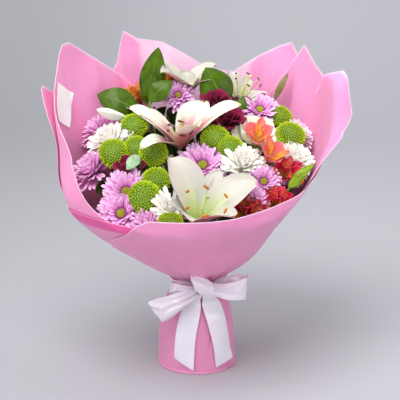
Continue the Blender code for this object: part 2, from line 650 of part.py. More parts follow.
def button_head(name, size, matrix, press, tone):
    """A button chrysanthemum: a dense dome of small florets as relief."""
    rings = 5

    def shape(level, step):
        angle = math.pi * level / (rings + 1)
        bump = 1.0 if (step + level) % 2 else 0.88
        radius = 0.5 * size * math.sin(angle) * bump
        half = 0.24 if angle < math.pi / 2 else 0.34
        height = size * (0.24 - half * math.cos(angle))
        return radius, height
    return ringed_head(name, rings, 7, shape, matrix, press, tone)


def carnation_head(name, size, matrix, press, tone):
    """A carnation: a narrow calyx under three frilled whorls."""
    rows = ((0.0, 0.0), (0.14, 0.1), (0.15, 0.42), (0.5, 0.62), (0.33, 0.7), (0.4, 0.86),
            (0.2, 0.86), (0.24, 1.0), (0.0, 0.92))
    frilled = (3, 5, 7)

    def shape(level, step):
        reach, height = rows[level]
        frill = 1.0 if level not in frilled else (1.0, 0.84, 0.95, 0.8)[(step + level) % 4]
        return reach * size * frill, 0.66 * size * height
    return ringed_head(name, 7, 7, shape, matrix, press, tone)


def rose_head(name, size, matrix, press, tone):
    """An open rose: three nested cups of broad petals round a bud."""
    rows = ((0.0, 0.0), (0.16, 0.05), (0.5, 0.5), (0.45, 0.56), (0.36, 0.5), (0.38, 0.78),
            (0.28, 0.72), (0.26, 0.95), (0.14, 0.86), (0.0, 0.9))
    lobed = (2, 3, 5, 7)

    def shape(level, step):
        reach, height = rows[level]
        lobe = 0.88 + 0.12 * abs(math.cos(math.pi * (step / 4 + level / 2))) if level in lobed else 1
        return reach * size * lobe, 0.62 * size * height
    return ringed_head(name, 8, 8, shape, matrix, press, tone)


def lily_head(node, size, matrix, press, tone):
    """A lily: six arched petals, three broad and three narrow."""
    blades = [(turn, length, width, chord + 0.5 * LILY_DROOP, LILY_DROOP)
              for turn, length, width, chord in LILY_PETALS[node]]
    return whorl(size, matrix, press, tone, 0.062 * size, 0.09 * size, blades)


def build_stamens(node, size, matrix, group):
    """Six filaments with their anthers and the style, joined in the throat."""
    start = 0.09 * size + GAP
    root = Vector((0, 0, start))
    body = cone_between(node + "_stamens", root, root + Vector((0, 0, 3)), 3.0, 3.0, "anther", 8)
    pieces = [cone_between("style", root + Vector((0, 0, 1)), (0, 0, start + 0.36 * size), 0.8, 1.5,
                           "anther", 4)]
    for i in range(6):
        a = math.radians(60 * i + 30)
        out = Vector((math.cos(a), math.sin(a), 0))
        tip = out * 0.16 * size + Vector((0, 0, start + 0.32 * size))
        pieces.append(cone_between("filament", root + out * 1.9 + Vector((0, 0, 1.2)), tip, 0.6, 0.7,
                                   "anther", 3))
        across = Vector((-math.sin(a), math.cos(a), 0.3)) * 0.032 * size
        pieces.append(cone_between("anther", tip - across, tip + across, 1.6, 1.2, "anther", 4))
    fuse(body, pieces)
    body.data.transform(Matrix.Scale(MM, 4) @ matrix @ Matrix.Scale(1 / MM, 4))
    group.objects.link(body)
    bpy.context.scene.collection.objects.unlink(body)
    return body


def astro_head(name, size, matrix, press, tone):
    """An alstroemeria floret: a slim funnel of six tepals."""
    broad, narrow = (0.95 * size, 0.40 * size, 66, 50), (0.9 * size, 0.30 * size, 60, 46)
    blades = [(60 * i, *(narrow if i % 2 else broad)) for i in range(6)]
    return whorl(size, matrix, press, tone, 0.12 * size, 0.16 * size, blades)


def bud_head(name, size, matrix, press, tone):
    """A long three-sided lily bud, slightly open at its tip."""
    rows = ((0.0, 0.0), (0.07, 0.04), (0.13, 0.3), (0.16, 0.6), (0.11, 0.86), (0.0, 1.0))

    def shape(level, step):
        reach, height = rows[level]
        return reach * size * (0.86 + 0.14 * math.cos(math.pi * step / 2)), size * height
    return ringed_head(name, 4, 6, shape, matrix, press, tone)


HEADS = {"mum": mum_head, "button": button_head, "carnation": carnation_head, "rose": rose_head,
         "lily": lily_head, "astro": astro_head, "bud": bud_head}


def tone_of(node, kind):
    return "bud" if kind == "bud" else node.split("_")[0]


def head_frames():
    """Each row of the plan with its base, axis, cell centre and cell radius."""
    found = []
    for row in PLAN:
        _, _, kind, x, y, lift, size, _, lean_x, lean_y = row
        axis = facing(x, y, lean_x, lean_y)
        depth = HEAD_DEPTH[kind] * size / DEPTH_AT.get(kind, DEPTH_AT_OTHERS)
        base = Vector((x, y, dome(x, y) + lift)) - axis * depth
        found.append((row, base, axis, base + axis * depth * 0.6, size * CELL.get(kind, CELL_OTHERS)))
    return found


def press_of(index, frames, obstacles):
    """A head pressed by its neighbours: it keeps to its side of the plane between them.

    It also stays within the paper and clear of the lilies and leaves, which lie over it.
    """
    centre, radius = frames[index][3:]
    planes = []
    for k, (row, _, _, other, reach) in enumerate(frames):
        apart = (other - centre).length
        if k != index and row[2] not in OVERLYING and apart < radius + reach:
            normal = (other - centre) / apart
            limit = (apart * apart + radius * radius - reach * reach) / (2 * apart)
            planes.append((normal, max(limit - 0.5 * GAP, 0.3 * radius)))

    def clear(spot):
        out = spot - centre
        if obstacles.find_nearest(spot, OVERLAY_CLEAR)[0] is not None:
            return False
        return obstacles.ray_cast(centre, out.normalized(), out.length)[0] is None

    def press(point, wall):
        out = point - centre
        for normal, limit in planes:
            along = out.dot(normal)
            if along > limit - 0.5 * wall:
                out = out * ((limit - 0.5 * wall) / along)
        spot = centre + out
        azimuth = math.degrees(math.atan2(spot.y, spot.x))
        room = form_point(azimuth, max(spot.z, NECK_TOP)).xy.length - PAPER_CLEAR
        if spot.xy.length > room:
            spot.xy = spot.xy * (room / spot.xy.length)
        share = 1.0
        while share > 0.3 and not clear(centre.lerp(spot, share)):
            share -= 0.05
        return centre.lerp(spot, share)
    return press


def loose(point, wall):
    """A lily lies over its neighbours, and only the paper holds its petals in."""
    azimuth = math.degrees(math.atan2(point.y, point.x))
    room = form_point(azimuth, max(point.z, NECK_TOP)).xy.length - PAPER_CLEAR - wall
    if point.xy.length > room:
        point.xy = point.xy * (room / point.xy.length)
    return point


def obstacle_tree(objects):
    """The surfaces of finished pieces, in millimetres."""
    points, faces = [], []
    for obj in objects:
        mesh = obj.evaluated_get(bpy.context.evaluated_depsgraph_get()).to_mesh()
        faces += [[len(points) + i for i in face.vertices] for face in mesh.polygons]
        points += [vertex.co / MM for vertex in mesh.vertices]
    return BVHTree.FromPolygons(points, faces)


def build_heads(group, seats):
    """Every node of the plan, with its short stalk. Adds each node's stem, seat and axis."""
    nodes = {}
    frames = head_frames()
    for index, frame in enumerate(frames):
        nodes.setdefault(frame[0][1], []).append(index)
    overlying_first = sorted(nodes, key=lambda n: frames[nodes[n][0]][0][2] not in OVERLYING)
    placed = [group.objects[node] for node in seats]
    obstacles = None
    for node in overlying_first:
        members = nodes[node]
        pieces, feet, axes = [], [], []
        stem, _, kind = frames[members[0]][0][:3]
        if kind not in OVERLYING and obstacles is None:
            bpy.context.view_layer.update()
            obstacles = obstacle_tree(placed)
        tone = tone_of(node, kind)
        for index in members:
            row, base, axis, _, _ = frames[index]
            size, turn = row[6], row[7]
            press = loose if kind in OVERLYING else press_of(index, frames, obstacles)
            made = HEADS[kind](node, size, frame_at(base, axis, turn), press, tone)
            pieces += made if isinstance(made, list) else [made]
            feet.append(press(base.copy(), 0.0))
            axes.append(axis)
            if node in STAMENS:
                placed.append(build_stamens(node, size, frame_at(base, axis, turn), group))
        axis = sum(axes, Vector()).normalized()
        middle = sum(feet, Vector()) / len(feet)
        if len(feet) > 1:
            seat = middle - axis * SPRAY_DROP
            pieces.append(cone_between("peg", seat, seat + axis * 6, PEDICEL_RADIUS, 2.4, tone, 5))
            for foot, a in zip(feet, axes):
                pieces.append(cone_between("stalk", seat + axis * 4, foot + a * 3, 1.7, 2.2, tone, 5))
        elif kind in SEATED:
            seat = middle
        else:
            seat = middle - axis * SEAT_DROP
            pieces.append(cone_between("stalk", seat, feet[0] + axis * 3, PEDICEL_RADIUS, 2.8, tone, 5))
        head = pieces[0]
        bpy.context.scene.collection.objects.unlink(head)
        group.objects.link(head)
        head.name = node
        if len(pieces) > 1:
            fuse(head, pieces[1:])
        placed.append(head)
        seats[node] = (stem, seat, axis, HEAD_RISE)


def leaf_form(base, tip, width, arch):
    """Points of a pointed blade from base to tip, folded along its rib and arched.

    The form takes t, from 0 at the base to 1 at the tip, and edge, from -1 to 1.
    """
    base, tip = Vector(base), Vector(tip)
    along = tip - base
    side = along.cross(Vector((0, -1, 0.6))).normalized()
    face = side.cross(along).normalized()

    def point(t, edge):
        half = 0.5 * width * math.sin(math.pi * t ** 0.85) ** 0.8 if 0 < t < 1 else 0.0
        lift = arch * math.sin(math.pi * t) - 0.16 * half * abs(edge)
        return base + along * t + side * half * edge + face * lift
    return point


def build_leaves(group):
    """Leaves on short stalks. Returns each node's stem, seat and axis."""
    seats = {}
    rows = 6
    for node, stem, blades in LEAVES:
        bases = [Vector(b[0]) for b in blades]
        middle = sum(bases, Vector()) / len(bases)
        axis = (middle - Vector((0.7 * middle.x, 0.7 * middle.y, 150))).normalized()
        seat = middle - axis * (10 if len(bases) == 1 else 14)
        head = cone_between(node, seat, seat + axis * 4, PEDICEL_RADIUS, 1.7, "leaf", 5)
        pieces = []
        for blade in blades:
            point = leaf_form(*blade)
            pieces.append(cone_between("stalk", seat + axis * 2, point(0.17, 0), 1.5, 1.1, "leaf", 5))
            grid = mapped_grid(2, rows, lambda column, row, at=point: at(row / rows, column - 1))
            piece = new_object("blade", grid, "leaf", bpy.context.scene.collection)
            solidify(piece, LEAF, 0.0)
            pieces.append(piece)
        bpy.context.scene.collection.objects.unlink(head)
        group.objects.link(head)
        fuse(head, pieces)
        seats[node] = (stem, seat, axis, LEAF_RISE)
    return seats


def waist_places(count):
    """Places of the stems in the tied waist, packed in rings, as radius and angle."""
    places = [(0.0, 0.0)]
    for ring in (1, 2, 3, 4):
        for side in range(6):
            for step in range(ring):
                a = Vector((math.cos(math.pi * side / 3), math.sin(math.pi * side / 3), 0))
                b = Vector((math.cos(math.pi * (side + 1) / 3), math.sin(math.pi * (side + 1) / 3), 0))
                spot = (a * (ring - step) + b * step) * STEM_PITCH
                places.append((spot.length, math.degrees(math.atan2(spot.y, spot.x)) % 360))
    places.sort()
    return places[:count]


def tube(name, points, radii, resolution):
    """A rod along straight runs, as a curve made into a welded mesh."""
    curve = bpy.data.curves.new(name, "CURVE")
    curve.dimensions = "3D"
    curve.bevel_depth = MM
    curve.bevel_resolution = resolution
    curve.use_fill_caps = True
    spline = curve.splines.new("POLY")
    spline.points.add(len(points) - 1)
    for spot, point, radius in zip(spline.points, points, radii):
        spot.co = (*(Vector(point) * MM), 1)
        spot.radius = radius
    obj = bpy.data.objects.new(name, curve)
    bpy.context.scene.collection.objects.link(obj)
    graph = bpy.context.evaluated_depsgraph_get()
    mesh = bpy.data.meshes.new_from_object(obj.evaluated_get(graph))
    bm = bmesh.new()
    bm.from_mesh(mesh)
    bmesh.ops.remove_doubles(bm, verts=bm.verts, dist=0.00001)
    bm.to_mesh(mesh)
    bm.free()
    solid = bpy.data.objects.new(name, mesh)
    solid.matrix_world = obj.matrix_world
    bpy.context.scene.collection.objects.link(solid)
    bpy.data.objects.remove(obj)
    return solid


def build_stems(seats, group):
    """Spiralled stems from the foot through the tied waist to a fork under their heads."""
    stems = {}
    for stem, seat, axis, rise in seats.values():
        stems.setdefault(stem, []).append((seat, seat - axis * rise))
    centres = {s: sum((seat for seat, _ in found), Vector()) / len(found) for s, found in stems.items()}
    inner_first = sorted(stems, key=lambda s: (centres[s].xy.length, s))
    places = waist_places(len(stems))
    rings = {}
    for stem, place in zip(inner_first, places):
        rings.setdefault(round(place[0]), []).append((stem, place))
    waist = {}
    for members in rings.values():
        angle = {s: math.degrees(math.atan2(centres[s].y, centres[s].x)) % 360 for s, _ in members}
        names = sorted(angle, key=lambda s: ((angle[s] - STEM_SPIRAL) % 360, s))
        spots = sorted((place for _, place in members), key=lambda p: p[1])
        waist.update(zip(names, spots))
    pieces = []
    for stem, found in stems.items():
        radius, angle = waist[stem]
        tie = polar(angle, radius, STRING_HEIGHT)
        spread = STEM_RADIUS + (STEM_FOOT_RADIUS - STEM_RADIUS) * radius / places[-1][0]
        cut = polar(angle - STEM_CROSS, spread, STEM_BOTTOM)
        route = [cut, tie - Vector((0, 0, 4)), tie + Vector((0, 0, 4))]
        radii = [STEM_RADIUS] * 3
        if len(found) == 1:
            seat, bend = found[0]
            pieces.append(tube("stem", route + [bend, seat + (bend - seat).normalized() * GAP],
                               radii + list(STEM_NECK), 0))
            continue
        centre = centres[stem]
        fork = tie.lerp(centre, FORK_SHARE)
        fork.z = min(fork.z + 8, centre.z - 30)
        pieces.append(tube("stem", route + [fork], radii + [FORK_RADIUS], 0))
        back = (fork - tie).normalized() * 3
        for seat, bend in found:
            points = (fork - back, bend, seat + (bend - seat).normalized() * GAP)
            pieces.append(tube("pedicel", points, FORK_PEDICEL, 0))
    waist_low, waist_high = (Vector((0, 0, STRING_HEIGHT + s * WAIST_HEIGHT / 2)) for s in (-1, 1))
    squeeze = places[-1][0] + 0.6 * STEM_RADIUS
    pieces.append(cone_between("waist", waist_low, waist_high, squeeze, squeeze, "stem", 12))
    bundle = pieces[0]
    bpy.context.scene.collection.objects.unlink(bundle)
    group.objects.link(bundle)
    bundle.name = "stem_bundle"
    bundle.data.materials.append(material("stem"))
    fuse(bundle, pieces[1:])
    reach = places[-1][0] + STEM_RADIUS + GAP + STRING_RADIUS
    section = [(reach + STRING_RADIUS * math.sin(math.radians(a)),
                STRING_HEIGHT + STRING_RADIUS * math.cos(math.radians(a))) for a in range(0, 360, 90)]
    turned_ring("binding_string", section, "string", group, steps=18)


def clear_scene():
    for obj in list(bpy.data.objects):
        bpy.data.objects.remove(obj)


def main():
    clear_scene()
    parts = bpy.data.collections.new(BOUQUET)
    bpy.context.scene.collection.children.link(parts)
    for name, layer, rim in SHEETS:
        build_sheet(name, layer, rim, parts)
    build_label(parts)
    build_foot(parts)
    build_ribbon(parts)
    seats = build_leaves(parts)
    build_heads(parts, seats)
    build_stems(seats, parts)
    for obj in parts.objects:
        obj.data.shade_smooth()
        obj.data.set_sharp_from_angle(angle=math.radians(40))


main()
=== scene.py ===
import math

import bpy
import numpy as np
from mathutils import Matrix, Vector
from mathutils.bvhtree import BVHTree


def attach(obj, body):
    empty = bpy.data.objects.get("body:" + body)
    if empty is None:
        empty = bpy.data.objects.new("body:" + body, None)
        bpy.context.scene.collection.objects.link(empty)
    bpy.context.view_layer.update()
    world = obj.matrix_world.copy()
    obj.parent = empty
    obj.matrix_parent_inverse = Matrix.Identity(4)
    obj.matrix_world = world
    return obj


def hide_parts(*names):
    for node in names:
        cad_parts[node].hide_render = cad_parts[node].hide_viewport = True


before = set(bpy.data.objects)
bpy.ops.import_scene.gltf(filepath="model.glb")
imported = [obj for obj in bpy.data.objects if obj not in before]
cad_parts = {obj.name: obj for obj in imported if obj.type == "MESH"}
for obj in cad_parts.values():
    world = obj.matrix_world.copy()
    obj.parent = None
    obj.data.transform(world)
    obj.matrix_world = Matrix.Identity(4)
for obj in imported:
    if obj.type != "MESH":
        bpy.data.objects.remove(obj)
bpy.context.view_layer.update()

bl_info = {
    "name": "Wrapped Flower Bouquet",
    "version": (1, 0, 0),
    "blender": (4, 5, 0),
    "location": "3D View > Sidebar > Bouquet",
    "description": "Dresses a hand-tied bouquet in paper, satin, petals and leaves",
    "category": "Object",
}

# Tables are in millimetres and degrees. Azimuth 0 is +X, 90 the back, -90 the front.
MM = 0.001
GOLDEN = 137.508         # turn between petals that follow one another, in degrees

# The dome that the heads sit on
DOME_TOP = 318.0
DOME_SLOPE = 0.52
DOME_CURVE = 0.00124

# The paper's flared form: radius of the innermost sheet by azimuth, at five heights above the neck
NECK_TOP = 122.0
HEM = 108.0              # lower edge of the sheets
PEAK = 440.0             # height up to which the form is worked out
FORM_HEIGHTS = (NECK_TOP, 150.0, 190.0, 240.0, 300.0, 400.0)
NECK_RADIUS = 31.0
FORM = (
    (-120, (66, 102, 150, 172, 185)),
    (-90, (64, 96, 147, 170, 185)),
    (-60, (62, 92, 138, 163, 180)),
    (-30, (64, 92, 131, 161, 176)),
    (0, (66, 95, 133, 164, 174)),
    (30, (62, 90, 124, 150, 163)),
    (60, (58, 86, 112, 134, 152)),
    (90, (56, 82, 107, 130, 150)),
    (120, (58, 86, 112, 134, 154)),
    (150, (62, 96, 130, 148, 164)),
    (180, (69, 117, 166, 176, 186)),
    (200, (74, 131, 174, 172, 176)),
    (215, (73, 124, 166, 168, 172)),
)

# Distance between layers at the neck and above it, and the height in which it grows
LAYER_AT_NECK = 1.6
LAYER_ABOVE = 3.0
LAYER_SPREAD = 30.0

# Soft waves begin at a height and grow, and the neck's gathers fade over a height below their top
WAVES_LOW, WAVES_RISE = 165.0, 110.0
GATHERS_TOP, GATHERS_FADE = 178.0, 44.0

# Each sheet's layer from the inside out, and its rim as azimuth and height
SHEETS = {
    "wrap_left_sheet": (0, ((120, 330), (132, 364), (144, 387), (156, 409), (163, 420), (168, 419),
                            (175, 388), (180, 368), (192, 326), (204, 293), (216, 250), (228, 210),
                            (236, 178))),
    "wrap_right_flap": (1, ((-24, 236), (-12, 277), (-4, 316), (0, 362), (4, 380), (8, 388),
                            (16, 378), (22, 352))),
    "wrap_left_flap": (1, ((152, 296), (163, 341), (172, 360), (180, 374), (184, 370), (187, 320))),
    "wrap_left_fold": (1, ((190, 200), (195, 225), (199, 233), (208, 229), (222, 227), (237, 222),
                           (244, 205))),
    "wrap_front_sheet": (2, ((-166, 157), (-144, 194), (-132, 207), (-120, 228), (-112, 239),
                             (-96, 240), (-84, 240), (-72, 242), (-48, 250), (-24, 256), (-12, 266),
                             (-5, 278), (0, 306), (4, 352), (8, 365), (18, 375), (28, 396),
                             (33, 410), (40, 384), (48, 348), (56, 320))),
    "wrap_back_sheet": (3, ((38, 396), (42, 410), (48, 404), (60, 386), (72, 364), (84, 366),
                            (96, 386), (108, 404), (120, 410), (127, 422), (132, 380), (144, 333),
                            (150, 312))),
}

# How far the right flap folds out at its corner and along its top, and how far above the front
# sheet it begins. The left flap folds out above a height and past an azimuth.
FLAP_REACH = 22.0
FLAP_TOP_REACH = 15.0
FLAP_CLEAR = 9.0
LEFT_FLAP_REACH = 11.0
LEFT_FLAP_LOW, LEFT_FLAP_RISE = 300.0, 70.0
LEFT_FLAP_START, LEFT_FLAP_TURN = 164.0, 14.0
SHEET_ROWS = 46
PAPER_UNROLLED = 0.16    # metres of paper for each radian, for its pattern

# Painted shade and light on one face of a sheet: above 0 a deeper pink, painted shade in the left
# fold's rolled rim, and below 0 a paler pink, painted light shining through the back sheet; then
# how far it reaches down from the rim, between which azimuths, and 0 for the outer face or 1 for
# the inner. At a rim the mark is lower by one, a painted highlight along the rim.
PAINTED_SHADE_AND_LIGHT = {"wrap_left_fold": (1.4, 13.0, 180, 260, 0),
               # Painted light: the back sheet's inner face is pale where light shines through the
               # single layer
               "wrap_back_sheet": (-0.9, 400.0, 58, 124, 1)}
NO_PAINTED_SHADE_OR_LIGHT = (0.0, 1.0, 0, 1, 0)

# The label's lower and upper edges, each from its left end to its right, as azimuth and height
LABEL_LOW = ((182, 332), (169.5, 312))
LABEL_HIGH = ((176, 375), (163.6, 354))
LABEL_INSIDE = 1.05      # how far it lies inside the sheet's middle
LABEL_THICKNESS = 0.35
LABEL_GRID = (8, 14)

# The paper foot: its profile as height and radius, and its soft lobes
FOOT_PROFILE = ((0, 0), (0, 46.8), (3.5, 49.8), (16, 50.6), (46, 49.4), (74, 45.6), (92, 40.2),
                (101, 36.0), (107, 30.6), (126, 30.6))
FOOT_GRID = (180, 64)
FOOT_FLAT = 43.5         # radius of the flat part of its bottom
FOOT_NECK = 104.0        # height where the barrel has ended
FOOT_BULGE = 2.5         # how much fuller the foot is on its left side
FOOT_LOBES = 5
FOOT_LOBE_DEPTH = 0.9
FOOT_GATHER = 0.8        # share of the neck's pleats that it takes, from a height upwards
FOOT_GATHER_LOW, FOOT_GATHER_RISE = 60.0, 45.0
FOOT_UNROLLED = 0.048

# Folds of the foot: azimuth at the bottom and top, heights, half-width in degrees and depth
FOOT_FOLDS = (
    (286, 293, 28, 52, 2.2, 1.6), (247, 262, 2, 96, 7.0, 1.2), (322, 316, 2, 90, 6.0, 1.4),
    (200, 212, 4, 100, 8.0, 1.0), (150, 140, 4, 100, 9.0, 1.2), (95, 104, 4, 100, 7.0, 1.2),
    (40, 30, 4, 100, 8.0, 1.3), (352, 345, 10, 100, 6.0, 1.0),
)

# Satin band and bow
BAND_INNER = 36.95
BAND_LOW = 108.5
BAND_HIGH = 121.0
BAND_GRID = (160, 8)
BOW_CENTRE = (7.0, -48.6, 119.0)
KNOT_CENTRE = (11.5, -48.8, 120.8)
KNOT_HALF = (22.5, 9.0, 11.0)
KNOT_SLOPE = 24.0
KNOT_SHEAR = 0.9         # how far the upper corner of its left end lies out
KNOT_GRID = (24, 48)
KNOT_BELLY = ((-1, -0.6, 0, 0.6, 1), (0.86, 1.04, 0.98, 0.66, 0.34))
RIBBON_COLUMNS = 12
THREAD_HALF = 0.0125     # metres from the middle of the ribbon to its edge, for its pattern
KNOT_UNROLLED, BAND_UNROLLED = 0.009, 0.037      # metres of them for each radian
LOOP_STEPS = 72
TAIL_STEPS = 40
# Loops: end, direction of the width, its share of the ribbon's, skew, depth, and dent at the end
LOOPS = {
    "loop_left": ((-54.0, -52.0, 88.0), (0.57, 0.0, -0.82), 1.30, -5.0, 9.5, -2.5),
    "loop_right": ((62.0, -54.0, 123.0), (0.06, 0.0, 0.99), 1.22, -2.0, 9.5, 0.0),
    "loop_back": ((-35.0, -50.0, 121.0), (0.22, 0.0, 0.97), 0.66, -1.5, 5.5, 0.0),
}
# Tails: slant of the cut end, swing, shares of the ribbon's width at five places down the path,
# and the path itself as azimuth, height and distance off the foot
TAILS = {
    "tail_left": (-6.5, 0.6, (0.30, 0.45, 0.84, 1.08, 1.12),
                  ((-82, 114, 8), (-93, 103, 5), (-100, 90, 2), (-105.5, 74, 0),
                   (-109.5, 50, 0), (-111.5, 13, 0))),
    "tail_right": (4.5, 1.9, (0.34, 0.76, 1.06, 1.14, 1.04),
                   ((-80, 114, 8), (-70, 103, 5), (-64, 90, 2), (-59, 74, 0), (-53.5, 48, 0),
                    (-48, 12, 0))),
}
TAIL_SHARES_AT = (0, 1, 1.8, 2.8, 5)

# The florist's plan: node, kind, x, y, lift off the dome, diameter, turn, and a lean in x and y
# for the heads that have one
PLAN = (
    ("lily_front", "lily", 6, -109, 3, 138, 0, 0.15, 0.38),
    ("lily_middle", "lily", -22, -2, 5, 146, 0, 0.09, 0.23),
    ("lily_back_left", "lily", -14, 96, 4, 84, 100, 0.10, 0.10),
    ("lily_back_right", "lily", 56, 90, -6, 84, 60, 0.15, 0.05),
    ("lily_bud_left", "bud", -98, 38, 0, 48, 0, -2.05, -0.86),
    ("lilac_mum_center", "mum", 6, -38, -6, 68, 0),
    ("lilac_mum_lower_back", "mum", 46, -76, -6, 51, 10),
    ("lilac_mum_back", "mum", -27, 62, 12, 47, 5),
    ("lilac_mum_right", "mum", 84, 54, 7, 56, 0, 0.05, 0.00),
    ("lilac_mum_lower_right", "mum", 84, -62, 0, 51, 0, 0.05, 0.00),
    ("lilac_mum_low_rim", "mum", 74, -88, -4, 42, 8, 0.20, -0.30),
    ("lilac_mum_left_top", "mum", -140, 46, -2, 56, 0, -0.50, 0.00),
    ("lilac_mum_left_edge", "mum", -145, -18, -6, 64, 7, -0.50, 0.00),
    ("lilac_mum_left_low", "mum", -93, -74, 2, 63, 0, -0.15, 0.00),
    ("lilac_mum_left_rim", "mum", -100, -98, -2, 63, 9, -0.40, -0.25),
    ("lilac_mum_left_front", "mum", -64, -114, -8, 51, 4, -0.15, -0.40),
    ("blush_mum_right_edge", "mum", 140, 45, -8, 54, 0, 0.50, 0.00),
    ("white_mum_left", "mum", -119, 10, 4, 64, 6, -0.15, 0.00),
    ("white_mum_front", "mum", -34, -110, 6, 50, 3, 0.00, -0.30),
    ("white_mum_center", "mum", 58, -42, 2, 61, 0),
    ("white_mum_right", "mum", 128, -15, -2, 64, 5, 0.20, 0.00),
    ("green_button_upper_left", "button", -84, 22, 2, 35, 0),
    ("green_buttons_left", "button", -110, -22, 6, 39, 0, -0.05, 0.00),
    ("green_buttons_left", "button", -80, -16, 0, 33, 5),
    ("green_buttons_middle", "button", -57, -34, 5, 35, 0),
    ("green_buttons_middle", "button", -53, -69, 0, 34, 6),
    ("green_button_lower_left", "button", -68, -94, 4, 44, 3, 0.00, -0.10),
    ("green_button_front", "button", -34, -125, 0, 32, 4, 0.00, -0.34),
    ("green_buttons_center", "button", 22, -9, 0, 36, 0),
    ("green_buttons_center", "button", 41, -20, -3, 34, 5),
    ("green_buttons_right", "button", 123, 20, 2, 38, 0, 0.10, 0.00),
    ("green_buttons_right", "button", 110, 58, -2, 34, 6, 0.10, 0.00),
    ("coral_alstroemeria", "astro", 77, -12, 9, 35, 20, 0.00, -0.15),
    ("coral_alstroemeria", "astro", 93, -35, 6, 36, 50, 0.05, -0.15),
    ("red_alstroemeria", "astro", 116, -44, 4, 38, 10, 0.10, -0.10),
    ("red_alstroemeria", "astro", 100, -82, -3, 38, 40, 0.15, -0.15),
    ("crimson_alstroemeria", "astro", 62, -104, 0, 43, 15, 0.05, -0.20),
    ("gold_alstroemeria_left", "astro", -84, 96, 4, 37, 30, -0.10, 0.10),
    ("gold_alstroemeria_right", "astro", -33, 108, 8, 34, 0, 0.00, 0.10),
    ("crimson_carnations", "carnation", 38, 26, 2, 49, 0),
    ("crimson_carnations", "carnation", 24, 60, 4, 40, 8),
    ("crimson_carnation_left", "carnation", -88, -42, -1, 35, 4),
    ("cream_rose", "rose", 75, 13, -5, 62, 0, 0.00, -0.15),
)

# How deep a head of each kind is at the diameter in DEPTH_AT, and how far up that its centre lies
HEAD_DEPTH = {"lily": 34, "bud": 10, "mum": 20, "button": 20, "astro": 28, "carnation": 24,
              "rose": 26}
DEPTH_AT = {"lily": 138, "bud": 62}
DEPTH_AT_OTHERS = 45
CENTRE_SHARE = 0.6

# How far stalks reach below the heads of a spray, and below single heads that aren't seated
SPRAY_DROP = 26.0
SEAT_DROP = 7.0
SEATED = ("mum", "button", "carnation", "rose", "bud")
OVERLYING = ("lily", "bud")      # kinds that lie over the other heads

# Lilac chrysanthemums whose green eye shows
WITH_EYE = ("lilac_mum_center", "lilac_mum_back", "lilac_mum_right", "lilac_mum_lower_right",
            "lilac_mum_left_low", "lilac_mum_left_rim", "lilac_mum_lower_back")
LILY_PETALS = {          # turn, length, width and the angle of its chord, for each petal
    "lily_front": ((26, 84, 42, 39), (72, 68, 26, 39), (129, 86, 45, 40), (172, 42, 18, 30),
                   (252, 46, 36, 44), (322, 60, 28, 43)),
    "lily_middle": ((15, 93, 22, 38), (62, 71, 36, 32), (140, 92, 22, 15), (185, 68, 40, 46),
                    (231, 81, 22, 26), (304, 64, 34, 56)),
    "lily_back_left": ((0, 30, 24, 52), (60, 60, 22, 44), (120, 60, 34, 44), (180, 50, 24, 40),
                       (240, 50, 34, 42), (300, 56, 30, 36)),
    "lily_back_right": ((10, 44, 16, 40), (64, 46, 24, 48), (120, 32, 14, 54), (180, 24, 18, 54),
                        (240, 42, 16, 42), (300, 42, 22, 40)),
}
LILY_DROOP = 44          # degrees that the line of a lily petal bends over its length
LILY_FULLNESS = 1.10     # petals of the dressed lilies are this much wider than the part's
STAMENS = {              # node, reach, rise, nod to the front, and the anther's width and length
    "lily_front": ("lily_front_stamens", 0.19, 0.27, 16, 2.0, 5.2, "anther"),
    "lily_middle": ("lily_middle_stamens", 0.10, 0.17, 14, 1.7, 5.4, "anther_dark"),
}
FACING = {               # heads that turn towards the viewer about their centres, in degrees
    "lilac_mum_center": 12, "lilac_mum_back": 30, "lilac_mum_right": 16,
    "lilac_mum_lower_right": 14, "lilac_mum_left_low": 18, "lilac_mum_left_rim": 16,
    "white_mum_front": 20, "white_mum_center": 8, "white_mum_right": 8,
    "green_button_lower_left": 30, "green_buttons_left": 20, "green_buttons_middle": 24,
    "green_button_upper_left": 22, "green_buttons_center": 22, "green_buttons_right": 14,
    "green_button_front": 20,
}
VIEW_FROM = (0.0, -0.956, 0.292)

# Creases that all layers share: azimuth, width in degrees, depth, and where they begin and end
CREASES = (
    (52, 3, -3.0, 300, 420), (128, 3, 3.0, 250, 430), (160, 3, 2.2, 200, 420),
    (176, 3, -2.0, 180, 380), (-60, 3, 1.5, 140, 240), (-100, 4, -2.0, 130, 235),
    (15, 3, 2.5, 250, 400), (100, 3, -3.0, 260, 410), (75, 3, 2.5, 260, 390),
    (200, 3, 2.0, 150, 330), (38, 2.5, 3.0, 290, 420), (142, 4, -2.4, 230, 400),
)
CREASE_FADE = 45.0

# Leaves: for each blade its base, tip, width, and how far it arches
LEAVES = {
    "leaves_tall": (((-66, 80, 334), (-52, 84, 408), 34, 6),
                    ((-66, 66, 334), (-60, 62, 380), 22, 4)),
    "leaf_left": (((-80, 60, 330), (-133, 68, 348), 38, 7),),
    "leaf_middle": (((-64, 50, 344), (-34, 58, 368), 26, 5),),
    "leaf_square": (((36, 74, 332), (10, 80, 382), 46, 6),),
    "leaf_upright": (((53, 52, 316), (59, 60, 348), 18, 4),),
    "leaf_right": (((112, -66, 259), (153, -52, 286), 17, 5),),
    "leaf_narrow": (((102, 84, 338), (120, 92, 372), 8, 5),),
    "leaf_pale": (((-74, -46, 295), (-88, -64, 281), 15, 3),),
}
LEAF_LOOKS = {"leaf_right": "leaf_bright", "leaf_pale": "leaf_pale", "leaf_narrow": "leaf_olive"}
LEAF_ORIGIN = (0.7, 0.7, 150)    # where leaf stalks come from, as shares of x and y, and height

